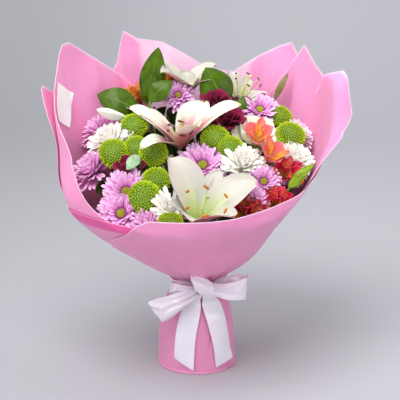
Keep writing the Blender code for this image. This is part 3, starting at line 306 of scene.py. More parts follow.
# The undergrowth between the stems: how many leaves, within which radius, how far below the dome
# they stand and how high they may reach, the scatter of their height, and their stalks and sizes
UNDERGROWTH_COUNT = 150
UNDERGROWTH_RADIUS = 132
UNDERGROWTH_BELOW = 34
UNDERGROWTH_CEILING = 26
UNDERGROWTH_SCATTER = 10
UNDERGROWTH_STALK = 52
UNDERGROWTH_LENGTH, UNDERGROWTH_LONGER = 24, 10
UNDERGROWTH_WIDTH, UNDERGROWTH_WIDER = 15, 6

# Petals of a chrysanthemum with an eye, of a lilac one without, and of a white one: how many for
# each millimetre across, how much shorter the inner ones are, and how much steeper
MUM_EYED = (1.8, 0.27, 46)
MUM_LILAC = (2.3, 0.22, 78)
MUM_WHITE = (2.6, 0.22, 78)
EYE_KNOBS = 46
BUTTON_FLORETS = 250
CARNATION_PETALS = 30
ROSE_PETALS = 19

# The three florets of a tuft: their turns, their share of the head's size, and their lean
TUFT_TURNS = (80, 200, 320)
TUFT_SHARE = 0.74
TUFT_LEAN = 26

OUTLINES = {             # places from root to tip, and a petal's share of its full width there
    "mum": ((0, 0.25, 0.6, 0.84, 1.0), (0.34, 0.52, 0.88, 1.0, 0.58)),
    "button": ((0, 0.66, 1.0), (0.7, 1.0, 0.6)),
    "carnation": ((0, 0.4, 0.8, 1.0), (0.16, 0.42, 0.95, 0.88)),
    "rose": ((0, 0.3, 0.7, 1.0), (0.22, 0.66, 1.0, 0.80)),
    "astro": ((0, 0.3, 0.62, 0.85, 1.0), (0.26, 0.46, 0.96, 0.92, 0.14)),
}
BUD_PROFILE = ((0, 0.04, 0.3, 0.6, 0.86, 1.0), (0, 0.07, 0.13, 0.165, 0.11, 0.0))
CALYX = {                # width, height and number of bracts, the first two as shares of the size
    "mum": (0.16, 0.10, 12), "button": (0.34, 0.16, 12), "carnation": (0.14, 0.40, 5),
    "rose": (0.20, 0.22, 5), "astro": (0.10, 0.10, 6),
}
# As in STAMENS, for the back lily whose stamens are part of its own node
BACK_LILY_STAMENS = ("lily_back_right", 0.20, 0.46, 6, 1.2, 3.4)

NEIGHBOUR_SOFT = 7.0     # how far pressed petals may still slide over a neighbour
PRESSED_LEAST = 0.45     # share of its reach that a pressed head keeps
PRESSED_RISE = 0.35      # how far pressed petals rise for each millimetre that they give way
PAPER_CLEAR = 2.2        # room between the flowers and the innermost sheet
OVERLAY_CLEAR = 2.0      # room below the lilies and leaves that lie over other heads
OVERLAY_CORE = 4.0       # radius in which a head's middle isn't drawn back
OVERLAY_LEAST = 2.0      # and the least that is kept of what lies outside

# Camera: distance from its target in metres, elevation, focal length and sensor in millimetres,
# target, and the shift of the picture as shares of its width
CAMERA_DISTANCE = 1.70
CAMERA_ELEVATION = 17.0
CAMERA_LENS = 117.7
CAMERA_SENSOR = 36.0
CAMERA_TARGET = (0.0, 0.0, 0.205)
CAMERA_SHIFT = (0.005, 0.0334)

# Lights: place, target, size and watts. The floor is in metres: its length, how much of it lies
# in front, where it begins to rise behind, the radius of its bend and half its width.
LIGHTS = {
    "key": ((-0.35, -0.75, 1.75), (0, 0, 0.25), 1.2, 33),
    "front_fill": ((0.3, -2.3, 0.5), (0, 0, 0.15), 1.4, 8),
    "left_fill": ((-1.7, -1.2, 0.35), (0, 0, 0.15), 1.2, 13),
    "right_fill": ((1.7, -1.3, 0.4), (0, 0, 0.15), 1.2, 10),
    "backdrop_light": ((0.1, 0.75, 2.0), (0.1, 1.6, 0.2), 2.0, 24),
}
WORLD_TONE = (0.88, 0.87, 0.91, 1)
WORLD_STRENGTH = 0.45
SWEEP_GRID = (8, 40)
SWEEP_LENGTH, SWEEP_FRONT, SWEEP_START, SWEEP_BEND, SWEEP_HALF = 7.0, 2.6, 1.3, 0.9, 4.0


# Sizes and colours that a user may change

def size_setting(name, description, default):
    return bpy.props.FloatProperty(name=name, description=description, default=default * MM,
                                   min=0.1 * MM, max=60 * MM, unit="LENGTH", precision=4)


def colour_setting(name, description, default):
    return bpy.props.FloatVectorProperty(name=name, description=description, default=default,
                                         size=3, min=0.0, max=1.0, subtype="COLOR")


class BouquetSizes(bpy.types.PropertyGroup):
    """Sizes of the bouquet's sheets, ribbon and petals"""
    paper: size_setting("Paper", "Thickness of the wrapping paper", 0.6)
    ribbon: size_setting("Ribbon", "Width of the satin ribbon", 25.0)
    satin: size_setting("Satin", "Thickness of the satin ribbon", 0.5)
    petal: size_setting("Petal", "Thickness of a chrysanthemum petal", 0.4)
    lily_petal: size_setting("Lily Petal", "Thickness of a lily petal", 0.7)
    leaf: size_setting("Leaf", "Thickness of a leaf", 0.6)
    wave: size_setting("Paper Wave", "Depth of the soft waves in the paper", 1.5)


class BouquetColours(bpy.types.PropertyGroup):
    """Main colours of the bouquet"""
    paper: colour_setting("Paper", "Wrapping paper", (0.92, 0.265, 0.50))
    # Deeper pink painted as the shade in the left fold's rolled rim
    paper_inside: colour_setting("Paper Inside", "Inner face of the doubled paper",
                                 (0.90, 0.07, 0.33))
    satin: colour_setting("Satin", "Ribbon", (0.80, 0.71, 0.79))
    lilac: colour_setting("Lilac", "Lilac chrysanthemums", (0.86, 0.37, 0.74))
    white: colour_setting("White", "White chrysanthemums", (0.98, 0.96, 0.88))
    green: colour_setting("Green", "Button chrysanthemums", (0.40, 0.56, 0.005))
    # The lily's own cream, greyed as painted shade across its petals
    lily: colour_setting("Lily", "Lily petals", (0.54, 0.50, 0.465))
    leaf: colour_setting("Leaf", "Leaves", (0.042, 0.092, 0.001))


def sizes():
    return bpy.context.scene.bouquet_sizes


def in_mm(name):
    """One of the sizes, in millimetres as the tables are."""
    return getattr(sizes(), name) / MM


def colours():
    return bpy.context.scene.bouquet_colours


# Curves and the paper's form

def smooth(t):
    t = np.clip(t, 0.0, 1.0)
    return t * t * (3 - 2 * t)


def curve_through(xs, ys, x):
    """A smooth curve through knots, with the slopes of their neighbours."""
    xs, ys = np.asarray(xs, float), np.asarray(ys, float)
    inner = (ys[2:] - ys[:-2]) / (xs[2:] - xs[:-2])
    slope = np.concatenate([[(ys[1] - ys[0]) / (xs[1] - xs[0])], inner,
                            [(ys[-1] - ys[-2]) / (xs[-1] - xs[-2])]])
    x = np.clip(x, xs[0], xs[-1])
    i = np.clip(np.searchsorted(xs, x, side="right") - 1, 0, len(xs) - 2)
    w = xs[i + 1] - xs[i]
    t = (x - xs[i]) / w
    return ((2 * t**3 - 3 * t**2 + 1) * ys[i] + (t**3 - 2 * t**2 + t) * w * slope[i]
            + (3 * t**2 - 2 * t**3) * ys[i + 1] + (t**3 - t**2) * w * slope[i + 1])


FORM_AZIMUTHS = np.arange(-120, 241, 1.0)
FORM_LEVELS = np.arange(NECK_TOP, PEAK + 1, 2.0)


def form_table():
    """Radius of the innermost sheet on a fine grid of azimuths and heights."""
    around = [(a - 360, r) for a, r in FORM[-2:]] + list(FORM) + [(a + 360, r) for a, r in FORM[:2]]
    levels = np.array([curve_through(FORM_HEIGHTS, (NECK_RADIUS, *r), FORM_LEVELS)
                       for _, r in around])
    azimuths = [a for a, _ in around]
    return np.array([curve_through(azimuths, levels[:, k], FORM_AZIMUTHS)
                     for k in range(len(FORM_LEVELS))])


FORM_TABLE = form_table()


def form_radius(azimuth, height):
    azimuth = (np.asarray(azimuth, float) + 120) % 360
    level = np.clip((np.asarray(height, float) - NECK_TOP) / 2, 0, len(FORM_LEVELS) - 1.001)
    i, j = azimuth.astype(int), level.astype(int)
    s, t = azimuth - i, level - j
    low = FORM_TABLE[j, i] * (1 - s) + FORM_TABLE[j, i + 1] * s
    high = FORM_TABLE[j + 1, i] * (1 - s) + FORM_TABLE[j + 1, i + 1] * s
    return low * (1 - t) + high * t


def layer_offset(layer, height):
    spread = smooth((height - NECK_TOP) / LAYER_SPREAD)
    return layer * (LAYER_AT_NECK + (LAYER_ABOVE - LAYER_AT_NECK) * spread)


def neck_pleats(a):
    """Depth of the pleats that the paper is gathered in at the neck."""
    phase = 30 * a + 2.4 * np.sin(3 * a + 0.4) + 1.3 * np.sin(7 * a)
    return (1.1 + 0.5 * np.sin(4 * a + 1)) * (1 + np.cos(phase))


def paper_waves(azimuth, height):
    """Gathers at the neck and soft waves above, shared by all layers so that they stay apart."""
    a = np.radians(azimuth)
    wave = in_mm("wave")
    high = smooth((height - WAVES_LOW) / WAVES_RISE)
    soft = (np.sin(5 * a + 0.021 * height) + 0.7 * np.sin(9 * a - 0.030 * height + 1.3)
            + 0.3 * np.sin(17 * a + 0.045 * height))
    gather = smooth((GATHERS_TOP - height) / GATHERS_FADE)
    sharp = 0.0
    for middle, width, depth, low, top in CREASES:
        away = np.abs((azimuth - middle - 0.04 * (height - low) + 180) % 360 - 180)
        ends = smooth((height - low) / CREASE_FADE) * smooth((top - height) / CREASE_FADE)
        sharp = sharp + depth * np.maximum(0, 1 - away / width) * ends
    return wave * high * soft - gather * neck_pleats(a) + sharp


def flare(name, azimuth, height):
    """How far a flap folds out from the common form."""
    if name == "wrap_right_flap":
        front = np.array(SHEETS["wrap_front_sheet"][1], float)
        above = height - np.interp(azimuth, front[:, 0], front[:, 1])
        corner = smooth((0.5 - azimuth) / 3.5)
        reach = FLAP_TOP_REACH + (FLAP_REACH - FLAP_TOP_REACH) * corner
        return reach * smooth((above - FLAP_CLEAR) / (18 + 22 * corner))
    if name == "wrap_left_flap":
        return (LEFT_FLAP_REACH * smooth((height - LEFT_FLAP_LOW) / LEFT_FLAP_RISE)
                * smooth((azimuth - LEFT_FLAP_START) / LEFT_FLAP_TURN))
    return np.zeros_like(azimuth)


def polar(azimuth, radius, height):
    a = np.radians(azimuth)
    return np.stack([radius * np.cos(a), radius * np.sin(a), np.broadcast_to(height, a.shape)], -1)


def sheet_point(name, layer, azimuth, height, inward=0.0):
    radius = form_radius(azimuth, height) + layer_offset(layer, height) - inward
    radius = radius + paper_waves(azimuth, height) + flare(name, azimuth, height)
    return polar(azimuth, radius, height)


def dome(x, y):
    return DOME_TOP + DOME_SLOPE * y - DOME_CURVE * (x * x + y * y)


# Modelling helpers

def pick(obj):
    """Select one object alone and make it active."""
    bpy.ops.object.select_all(action="DESELECT")
    obj.select_set(True)
    bpy.context.view_layer.objects.active = obj


def thicken(obj, thickness, offset=0.0, even=False):
    """Give a shell its wall, about its middle or to one side."""
    pick(obj)
    wall = obj.modifiers.new("wall", "SOLIDIFY")
    wall.thickness = thickness
    wall.offset = offset
    wall.use_even_offset = even
    bpy.ops.object.modifier_apply(modifier=wall.name)


def coordinates(obj):
    found = np.empty(len(obj.data.vertices) * 3, np.float32)
    obj.data.vertices.foreach_get("co", found)
    return found.reshape(-1, 3).astype(float)


def set_coordinates(obj, points):
    obj.data.vertices.foreach_set("co", np.asarray(points, np.float32).ravel())
    obj.data.update()


def mark(obj, name, values):
    """Store a vector at each point, for the materials to read."""
    attribute = obj.data.attributes.get(name)
    if attribute is None:
        attribute = obj.data.attributes.new(name, "FLOAT_VECTOR", "POINT")
    attribute.data.foreach_set("vector", np.asarray(values, np.float32).ravel())


def marks(obj, name):
    found = np.empty(len(obj.data.vertices) * 3, np.float32)
    obj.data.attributes[name].data.foreach_get("vector", found)
    return found.reshape(-1, 3)


def add_grid(name, columns, rows):
    """A unit grid with its corner at the origin. Returns it with each point's column and row."""
    bpy.ops.object.select_all(action="DESELECT")
    bpy.ops.mesh.primitive_grid_add(x_subdivisions=columns, y_subdivisions=rows, size=1,
                                    location=(0, 0, 0))
    obj = bpy.context.active_object
    obj.name = name
    obj.data.name = name
    flat = coordinates(obj)
    return obj, np.round((flat[:, 0] + 0.5) * columns), np.round((flat[:, 1] + 0.5) * rows)


def edit(obj, *steps):
    """Run operators on all of an object in edit mode, each with its settings."""
    pick(obj)
    bpy.ops.object.mode_set(mode="EDIT")
    bpy.ops.mesh.select_all(action="SELECT")
    for operator, settings in steps:
        operator(**settings)
    bpy.ops.object.mode_set(mode="OBJECT")


def merge(obj):
    edit(obj, (bpy.ops.mesh.remove_doubles, {"threshold": 0.02 * MM}),
         (bpy.ops.mesh.dissolve_degenerate, {"threshold": 0.001 * MM}))


def make_normals_outward(obj):
    edit(obj, (bpy.ops.mesh.normals_make_consistent, {"inside": False}))


def soften(obj, angle=40):
    pick(obj)
    bpy.ops.object.shade_smooth_by_angle(angle=math.radians(angle))


def settle(obj, node, slot, *looks):
    """Give a finished piece its materials and body, and hide the part of the node that it stands
    for. The slot is not used.
    """
    for look in looks:
        obj.data.materials.append(MATERIALS[look])
    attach(obj, "root")
    if node:
        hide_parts(node)
    return obj


class Cluster:
    """Gathers the parts of one piece: points, faces, marks and the finish of each face."""

    def __init__(self):
        self.points, self.faces, self.marks, self.finish = [], [], [], []
        self.count = 0

    def add(self, points, faces, given, finish=0):
        points = np.asarray(points, float).reshape(-1, 3)
        self.faces += [tuple(int(i) + self.count for i in face) for face in faces]
        self.finish += [finish] * len(faces)
        self.points.append(points)
        self.marks.append(np.broadcast_to(np.asarray(given, float), points.shape))
        self.count += len(points)

    def add_at(self, matrix, points, faces, given, finish=0):
        """Add a part that is modelled about the origin."""
        self.add(points @ matrix[:3, :3].T + matrix[:3, 3], faces, given, finish)

    def moved(self, since=0):
        return np.concatenate(self.points[since:])

    def piece(self, name, points):
        """One object in metres from points in millimetres."""
        mesh = bpy.data.meshes.new(name)
        mesh.from_pydata((np.asarray(points) * MM).tolist(), [], self.faces)
        mesh.polygons.foreach_set("material_index", np.array(self.finish, np.int32))
        obj = bpy.data.objects.new(name, mesh)
        bpy.context.scene.collection.objects.link(obj)
        mark(obj, "petal", np.concatenate(self.marks))
        mesh.update()
        soften(obj)
        return obj


# Petals: each kind is modelled once, then copied and bent into its whorls

PATTERNS = {}


def petal_pattern(columns, rows):
    """A thin closed blade: row and place across for each point, its side, and its faces."""
    if (columns, rows) not in PATTERNS:
        obj, _, _ = add_grid("petal_pattern", columns, rows)
        thicken(obj, 0.01)
        flat = coordinates(obj)
        row = np.round((flat[:, 0] + 0.5) * columns).astype(int)
        across = 2 * np.round((flat[:, 1] + 0.5) * rows) / rows - 1
        faces = [tuple(p.vertices) for p in obj.data.polygons]
        PATTERNS[(columns, rows)] = (row, across, np.sign(flat[:, 2]), faces, columns)
        bpy.data.meshes.remove(obj.data)
    return PATTERNS[(columns, rows)]


def arc_line(rows, length, rise, curl, root, root_height, power=1.0):
    """Centre lines that leave at rise degrees and turn up by curl degrees to their tips."""
    fine = 6
    u = np.arange(rows * fine + 1) / (rows * fine)
    angle = np.radians(rise[:, None] + curl[:, None] * u[None, :] ** power)
    step = length[:, None] / (rows * fine)
    middle = 0.5 * (angle[:, 1:] + angle[:, :-1])
    zero = np.zeros((len(length), 1))
    out = root[:, None] + np.concatenate([zero, np.cumsum(np.cos(middle) * step, 1)], 1)
    up = root_height[:, None] + np.concatenate([zero, np.cumsum(np.sin(middle) * step, 1)], 1)
    return out[:, ::fine], up[:, ::fine], angle[:, ::fine]


def spread_petals(pattern, line, turn, width, outline, cup, thick, kind,
                  twist=0.0, ruffle=0.0, waves=1.5, phase=0.0, tip=0.15, groove=0.0):
    """Bend copies of one petal along their centre lines. Returns their points and marks."""
    row, across, side, _, rows = pattern
    out, up, angle = (values[:, row] for values in line)
    count = len(turn)

    def each(value):
        return np.broadcast_to(np.asarray(value, float), (count,))[:, None]
    u = (row / rows)[None, :]
    v = across[None, :]
    half = 0.5 * each(width) * outline(row / rows)[None, :]
    y = v * half
    lift = each(cup) * half * v ** 2 + 0.5 * each(thick) * side[None, :]
    lift = lift - each(groove) * np.exp(-(v / 0.16) ** 2) * np.sin(np.pi * np.clip(u * 1.05, 0, 1))
    lift = lift + each(ruffle) * u ** 1.5 * np.abs(v) * np.sin(
        2 * np.pi * (waves * u + 0.35 * v) + each(phase))
    turn_over = np.radians(each(twist)) * u
    y, lift = (y * np.cos(turn_over) - lift * np.sin(turn_over),
               y * np.sin(turn_over) + lift * np.cos(turn_over))
    back = -each(tip) * each(width) * v ** 2 * u ** 4
    x = out - lift * np.sin(angle) + back * np.cos(angle)
    z = up + lift * np.cos(angle) + back * np.sin(angle)
    c, s = np.cos(np.radians(each(turn))), np.sin(np.radians(each(turn)))
    points = np.stack([x * c - y * s, x * s + y * c, z], -1)
    given = np.stack(np.broadcast_arrays(u, v, each(kind)), -1)
    return points, given


def bend_whorl(grid, line, turn, width, outline, cup, thick, kind, **form):
    """Petals of one kind along their arcs: their pattern, points and marks."""
    pattern = petal_pattern(*grid)
    if outline in OUTLINES:
        knots = OUTLINES[outline]
        outline = (lambda u: np.interp(u, *knots))
    return (pattern, *spread_petals(pattern, arc_line(grid[0], *line), turn, width, outline, cup,
                                    thick, kind, **form))


def add_petals(cluster, matrix, pattern, points, given, finish=0):
    """Put bent petals into a cluster, each a closed blade of its own."""
    placed = points @ matrix[:3, :3].T + matrix[:3, 3]
    for one, its in zip(placed, given):
        cluster.add(one, pattern[3], its, finish)


def bent_line(low, bend, high, count):
    """Points along a curve from low to high that leans towards bend."""
    t = np.linspace(0, 1, count)[:, None]
    return (1 - t) ** 2 * low + 2 * t * (1 - t) * bend + t ** 2 * high


def tube(points, radii, sides=8):
    """A closed rod along points: its own points and faces."""
    points = np.asarray(points, float)
    radii = np.broadcast_to(np.asarray(radii, float), (len(points),))
    along = np.gradient(points, axis=0)
    along /= np.linalg.norm(along, axis=1)[:, None]
    reference = np.array([0.0, 0, 1]) if abs(along[0, 2]) < 0.9 else np.array([1.0, 0, 0])
    rings, angle = [], 2 * np.pi * np.arange(sides) / sides
    for point, direction, radius in zip(points, along, radii):
        side = np.cross(direction, reference)
        side /= np.linalg.norm(side)
        other = np.cross(direction, side)
        reference = np.cross(side, direction)
        ring = np.outer(np.cos(angle), side) + np.outer(np.sin(angle), other)
        rings.append(point + radius * ring)
    faces = []
    for k in range(len(points) - 1):
        for i in range(sides):
            a, b = k * sides + i, k * sides + (i + 1) % sides
            faces.append((a, b, b + sides, a + sides))
    faces.append(tuple(range(sides - 1, -1, -1)))
    faces.append(tuple(range((len(points) - 1) * sides, len(points) * sides)))
    return np.concatenate(rings), faces


def ball(segments, rings):
    """A unit sphere's points and faces, from a primitive."""
    key = ("ball", segments, rings)
    if key not in PATTERNS:
        bpy.ops.object.select_all(action="DESELECT")
        bpy.ops.mesh.primitive_uv_sphere_add(segments=segments, ring_count=rings, radius=1)
        obj = bpy.context.active_object
        PATTERNS[key] = (coordinates(obj), [tuple(p.vertices) for p in obj.data.polygons])
        bpy.data.meshes.remove(obj.data)
    return PATTERNS[key]


# Heads of the plan

def unit(vector):
    vector = np.asarray(vector, float)
    return vector / np.linalg.norm(vector)


def turned_to_viewer(axis, degrees):
    """An axis swung by an angle towards the direction that the bouquet is seen from."""
    side = unit(np.array(VIEW_FROM) - axis * np.dot(axis, VIEW_FROM))
    return axis * math.cos(math.radians(degrees)) + side * math.sin(math.radians(degrees))


class Head:
    """One row of the plan with its own frame, centre and reach."""

    def __init__(self, index, row):
        self.node, self.kind, x, y, lift, self.size, turn, *lean = row
        lean_x, lean_y = lean or (0.0, 0.0)
        self.seat_axis = unit((2 * DOME_CURVE * x + lean_x,
                               2 * DOME_CURVE * y - DOME_SLOPE + lean_y, 1))
        depth = HEAD_DEPTH[self.kind] * self.size / DEPTH_AT.get(self.kind, DEPTH_AT_OTHERS)
        self.seat = np.array([x, y, dome(x, y) + lift]) - self.seat_axis * depth
        self.centre = self.seat + self.seat_axis * depth * CENTRE_SHARE
        self.axis = turned_to_viewer(self.seat_axis, FACING.get(self.node, 0))
        self.base = self.centre - self.axis * depth * CENTRE_SHARE
        self.reach = 0.5 * self.size
        side = unit(np.array([1.0, 0, 0]) - self.axis * self.axis[0])
        c, s = math.cos(math.radians(turn)), math.sin(math.radians(turn))
        spin = np.array([[c, -s, 0], [s, c, 0], [0, 0, 1]])
        self.matrix = np.eye(4)
        self.matrix[:3, :3] = np.stack([side, np.cross(self.axis, side), self.axis], 1) @ spin
        self.matrix[:3, 3] = self.base
        self.random = np.random.default_rng(100 + index)


HEADS = [Head(index, row) for index, row in enumerate(PLAN)]


def keep_inside(points):
    """Hold points within the innermost sheet."""
    radius = np.linalg.norm(points[:, :2], axis=1)
    azimuth = np.degrees(np.arctan2(points[:, 1], points[:, 0]))
    height = np.maximum(points[:, 2], NECK_TOP)
    room = form_radius(azimuth, height) + paper_waves(azimuth, height) - PAPER_CLEAR
    share = np.minimum(1.0, room / np.maximum(radius, 1e-6))
    held = points.copy()
    held[:, :2] *= share[:, None]
    return held


def press_head(points, head):
    """A head pressed by its neighbours: petals bend off at the plane between them."""
    moved = points.copy()
    for other in HEADS:
        apart = np.linalg.norm(other.centre - head.centre)
        if other is head or other.kind in OVERLYING or apart > head.reach + other.reach:
            continue
        normal = (other.centre - head.centre) / apart
        limit = (apart ** 2 + head.reach ** 2 - other.reach ** 2) / (2 * apart)
        limit = max(limit, PRESSED_LEAST * head.reach)
        beyond = np.maximum((moved - head.centre) @ normal - limit, 0)
        slide = NEIGHBOUR_SOFT * (1 - np.exp(-beyond / NEIGHBOUR_SOFT))
        moved -= np.outer(beyond - slide, normal)
        moved += np.outer((beyond - slide) * PRESSED_RISE, head.axis)
    return moved


OVERLAYS = []            # finished lilies and leaves that the other heads stay under


def overlay_tree():
    points, faces = [], []
    for obj in OVERLAYS:
        start = len(points)
        points += [v.co / MM for v in obj.data.vertices]
        faces += [[start + i for i in p.vertices] for p in obj.data.polygons]
    return BVHTree.FromPolygons(points, faces)


def tuck_under(points, head, tree):
    """Draw points back to their head's side of the petals and leaves that lie over it."""
    centre = Vector(head.centre)
    tucked = points.copy()
    for i, point in enumerate(points):
        out = Vector(point) - centre
        reach = out.length
        if reach < OVERLAY_CORE:
            continue
        hit = tree.ray_cast(centre, out / reach, reach + OVERLAY_CLEAR)[3]
        if hit is not None:
            kept = max(hit - OVERLAY_CLEAR, OVERLAY_LEAST)
            tucked[i] = head.centre + np.array(out / reach) * kept
    return tucked


def stalk_to_seat(cluster, heads, finish):
    """Green stalks from the heads of a node down to the top of its stem."""
    if len(heads) == 1:
        head = heads[0]
        drop = 3.0 if head.kind in SEATED else SEAT_DROP + 4
        line = bent_line(head.seat - head.seat_axis * drop, head.seat + head.seat_axis * 1.0,
                         head.base + head.axis * 4, 5)
        cluster.add(*tube(line, np.linspace(1.8, 2.8, 5)), (0.2, 0, 0.5), finish)
        return
    axis = unit(sum(h.axis for h in heads))
    seat = sum(h.base for h in heads) / len(heads) - axis * (SPRAY_DROP + 2)
    for head in heads:
        line = bent_line(seat + axis * 1.0, head.base - head.axis * 12,
                         head.base + head.axis * 3, 7)
        cluster.add(*tube(line, np.linspace(1.9, 2.4, 7)), (0.2, 0, 0.5), finish)


def calyx(cluster, head, width, height, count, finish):
    """Small green bracts that hold the petals from below."""
    ones = np.ones(count)
    line = (ones * (width + height) * 0.6, ones * 20, ones * 70, ones * 0.8, ones * -0.5)
    add_petals(cluster, head.matrix, *bend_whorl(
        (3, 2), line, 360.0 * np.arange(count) / count, ones * width * 0.9,
        lambda u: 0.45 + 0.55 * np.sin(np.pi * u ** 0.8), 0.3, 0.4, 0.5), finish)


def add_core(cluster, head, segments, half, up):
    """The rounded core that petals stand on, its half-widths and height as shares of the size."""
    core, faces = ball(*segments)
    core = core * head.size * np.array(half) + np.array([0, 0, up * head.size])
    cluster.add_at(head.matrix, core, faces, (0.0, 0, 0.5), 1)


def draw_jitter(head, rows, count):
    """Random draws for the petals of a head, and the place of each from the rim inwards."""
    return head.random.normal(0, 1, (rows, count)), np.linspace(0, 1, count)


def mum_parts(cluster, head):
    """A spray chrysanthemum: petals in a golden spiral, from the flat rim to the steep middle."""
    size = head.size
    eyed = head.node in WITH_EYE
    white = head.node.startswith(("white", "blush"))
    dense, shorter, steeper = MUM_EYED if eyed else MUM_WHITE if white else MUM_LILAC
    count = int(dense * size)
    jitter, s = draw_jitter(head, 5, count)
    length = size * (0.46 - shorter * s ** 1.1) * (1 + 0.045 * jitter[1])
    rise = 5 + steeper * s ** 1.05 + 3.5 * jitter[2]
    curl = (-6 + 24 * s if eyed else -10 + 42 * s) + 8 * jitter[3]
    root = size * (0.105 - (0.0 if eyed else 0.095) * s)
    width = size * ((0.115 if white else 0.094) - 0.025 * s) * (1 + 0.06 * jitter[4])
    kind = 0.25 * (0.5 + 0.5 * np.tanh(0.6 * jitter[0])) + 0.75 * s
    add_petals(cluster, head.matrix, *bend_whorl(
        (6, 2), (length, rise, curl, root, size * (0.13 + 0.07 * s)),
        GOLDEN * np.arange(count) + 5 * jitter[0], width, "mum", 0.42, in_mm("petal"), kind,
        twist=10 * jitter[2], tip=0.22))
    add_core(cluster, head, (12, 8), (0.15, 0.15, 0.09), 0.14)
    if eyed:
        eye_florets(cluster, head, 0.082 * size, 0.235 * size, 2)


def eye_florets(cluster, head, radius, height, finish):
    """The eye: a low dome of small knobs."""
    knob, faces = ball(6, 4)
    k = np.arange(EYE_KNOBS)
    out = radius * np.sqrt((k + 0.5) / EYE_KNOBS)
    angle = np.radians(GOLDEN * k)
    spots = np.stack([out * np.cos(angle), out * np.sin(angle),
                      height + 0.35 * radius * (1 - (out / radius) ** 2)], -1)
    for spot, share in zip(spots, out / radius):
        grain = knob * np.array([0.14, 0.14, 0.34]) * radius + spot
        cluster.add_at(head.matrix, grain, faces, (share, 0, 0.5), finish)


def button_parts(cluster, head):
    """A button chrysanthemum: a dense dome of small florets."""
    size = head.size
    add_core(cluster, head, (20, 12), (0.43, 0.43, 0.215), 0.235)
    jitter, _ = draw_jitter(head, 3, BUTTON_FLORETS)
    s = (np.arange(BUTTON_FLORETS) + 3.5) / (BUTTON_FLORETS + 3)
    down = np.radians(112) * s ** 0.55
    root_height = size * (0.235 + 0.205 * np.cos(down) - 0.02 * np.exp(-(down / 0.3) ** 2))
    line = (size * (0.064 + 0.072 * s) * (1 + 0.12 * jitter[2]),
            90 - np.degrees(down) * 0.92 + 4 * jitter[1], -24 * s + 20 * (1 - s),
            size * 0.42 * np.sin(down), root_height)
    add_petals(cluster, head.matrix, *bend_whorl(
        (3, 2), line, GOLDEN * np.arange(BUTTON_FLORETS) + 2 * jitter[0],
        size * (0.050 + 0.028 * s), "button", 0.55, 0.6, s, tip=0.2))


def carnation_parts(cluster, head):
    """A carnation: frilled fans, packed and steep. The left one is still cupped and smooth."""
    if head.node.endswith("left"):
        rose_parts(cluster, head)
        return
    size, count = head.size, CARNATION_PETALS
    jitter, s = draw_jitter(head, 4, count)
    line = (size * (0.62 - 0.10 * s) * (1 + 0.04 * jitter[1]), 56 + 36 * s + 3 * jitter[2],
            -58 + 50 * s, size * 0.07 * (1 - s), size * 0.10 * np.ones(count), 1.6)
    pattern, points, given = bend_whorl(
        (6, 6), line, GOLDEN * np.arange(count) + 8 * jitter[0], size * (0.40 - 0.14 * s),
        "carnation", -0.12, 0.4, 0.5 + 0.25 * jitter[3], ruffle=0.055 * size, waves=0.8,
        phase=3 * jitter[3], tip=0.14)
    frill = 0.03 * size * np.sin(9 * given[..., 1] + 5 * jitter[0][:, None]) * given[..., 0] ** 4
    points[..., 2] += frill
    add_petals(cluster, head.matrix, pattern, points, given)


def rose_parts(cluster, head):
    """An open cream rose: broad wavy petals in nested cups."""
    size = head.size
    jitter, s = draw_jitter(head, 4, ROSE_PETALS)
    line = (size * (0.66 - 0.12 * s) * (1 + 0.03 * jitter[1]), 46 + 42 * s + 3 * jitter[2],
            -34 + 56 * s, size * (0.10 - 0.08 * s), size * (0.06 + 0.03 * s), 1.8)
    add_petals(cluster, head.matrix, *bend_whorl(
        (8, 8), line, GOLDEN * np.arange(ROSE_PETALS) + 6 * jitter[0], size * (0.58 - 0.30 * s),
        "rose", 0.30 + 0.1 * s, 0.5, s, ruffle=0.06 * size, waves=1.3, phase=4 * jitter[3],
        tip=0.22))


def leaned(turn, degrees):
    """A turn that tips a floret by an angle to one side."""
    about = Matrix.Rotation(math.radians(turn), 4, "Z")
    return np.array(about @ Matrix.Rotation(math.radians(degrees), 4, "Y") @ about.inverted())


def astro_parts(cluster, head):
    """One steep coral floret, or a tuft of three smaller ones for the other tones."""
    if head.node.startswith("coral"):
        astro_floret(cluster, head.size, head.matrix, head.random)
        return
    for turn in TUFT_TURNS:
        astro_floret(cluster, TUFT_SHARE * head.size, head.matrix @ leaned(turn, TUFT_LEAN),
                     head.random)


def astro_floret(cluster, size, matrix, rng):
    """An alstroemeria floret: three broad outer tepals, three narrow streaked inner ones."""
    inner = np.arange(6) % 2
    jitter = rng.normal(0, 1, (3, 6))
    ones = np.ones(6)
    line = (size * np.where(inner, 1.06, 1.0) * (1 + 0.04 * jitter[0]),
            np.where(inner, 72, 66) + 4 * jitter[1], np.where(inner, -34, -30) + 6 * jitter[2],
            ones * 0.05 * size, ones * 0.04 * size, 1.9)
    add_petals(cluster, matrix, *bend_whorl(
        (10, 6), line, 60.0 * np.arange(6), size * np.where(inner, 0.36, 0.58), "astro",
        np.where(inner, 0.5, 0.40), 0.5, np.where(inner, 0.9, 0.1), ruffle=0.03 * size, waves=1.0,
        phase=jitter[2], tip=0.12, groove=0.014 * size))
    t = np.linspace(0, 1, 6)[:, None]
    grain, faces = ball(6, 5)
    for k in range(6):
        a = math.radians(60 * k + 20)
        out = np.array([math.cos(a), math.sin(a), 0])
        line = out * size * (0.04 + 0.13 * t ** 1.5) + np.array([0, 0, 1]) * size * (0.1 + 0.58 * t)
        rod = tube(line @ matrix[:3, :3].T + matrix[:3, 3], np.linspace(0.5, 0.3, 6), 5)
        cluster.add(*rod, (0.8, 0, 0.9), 1)
        cluster.add_at(matrix, grain * np.array([0.9, 0.9, 1.8]) + line[-1], faces,
                       (0.8, 0, 0.9), 2)


def lily_outline(u):
    closed = 0.30 * (1 - u) ** 2
    full = np.clip(np.sin(np.pi * np.clip(u, 0, 1) ** 1.12), 0, 1) ** 0.74
    return closed + (1 - closed) * full + 0.02


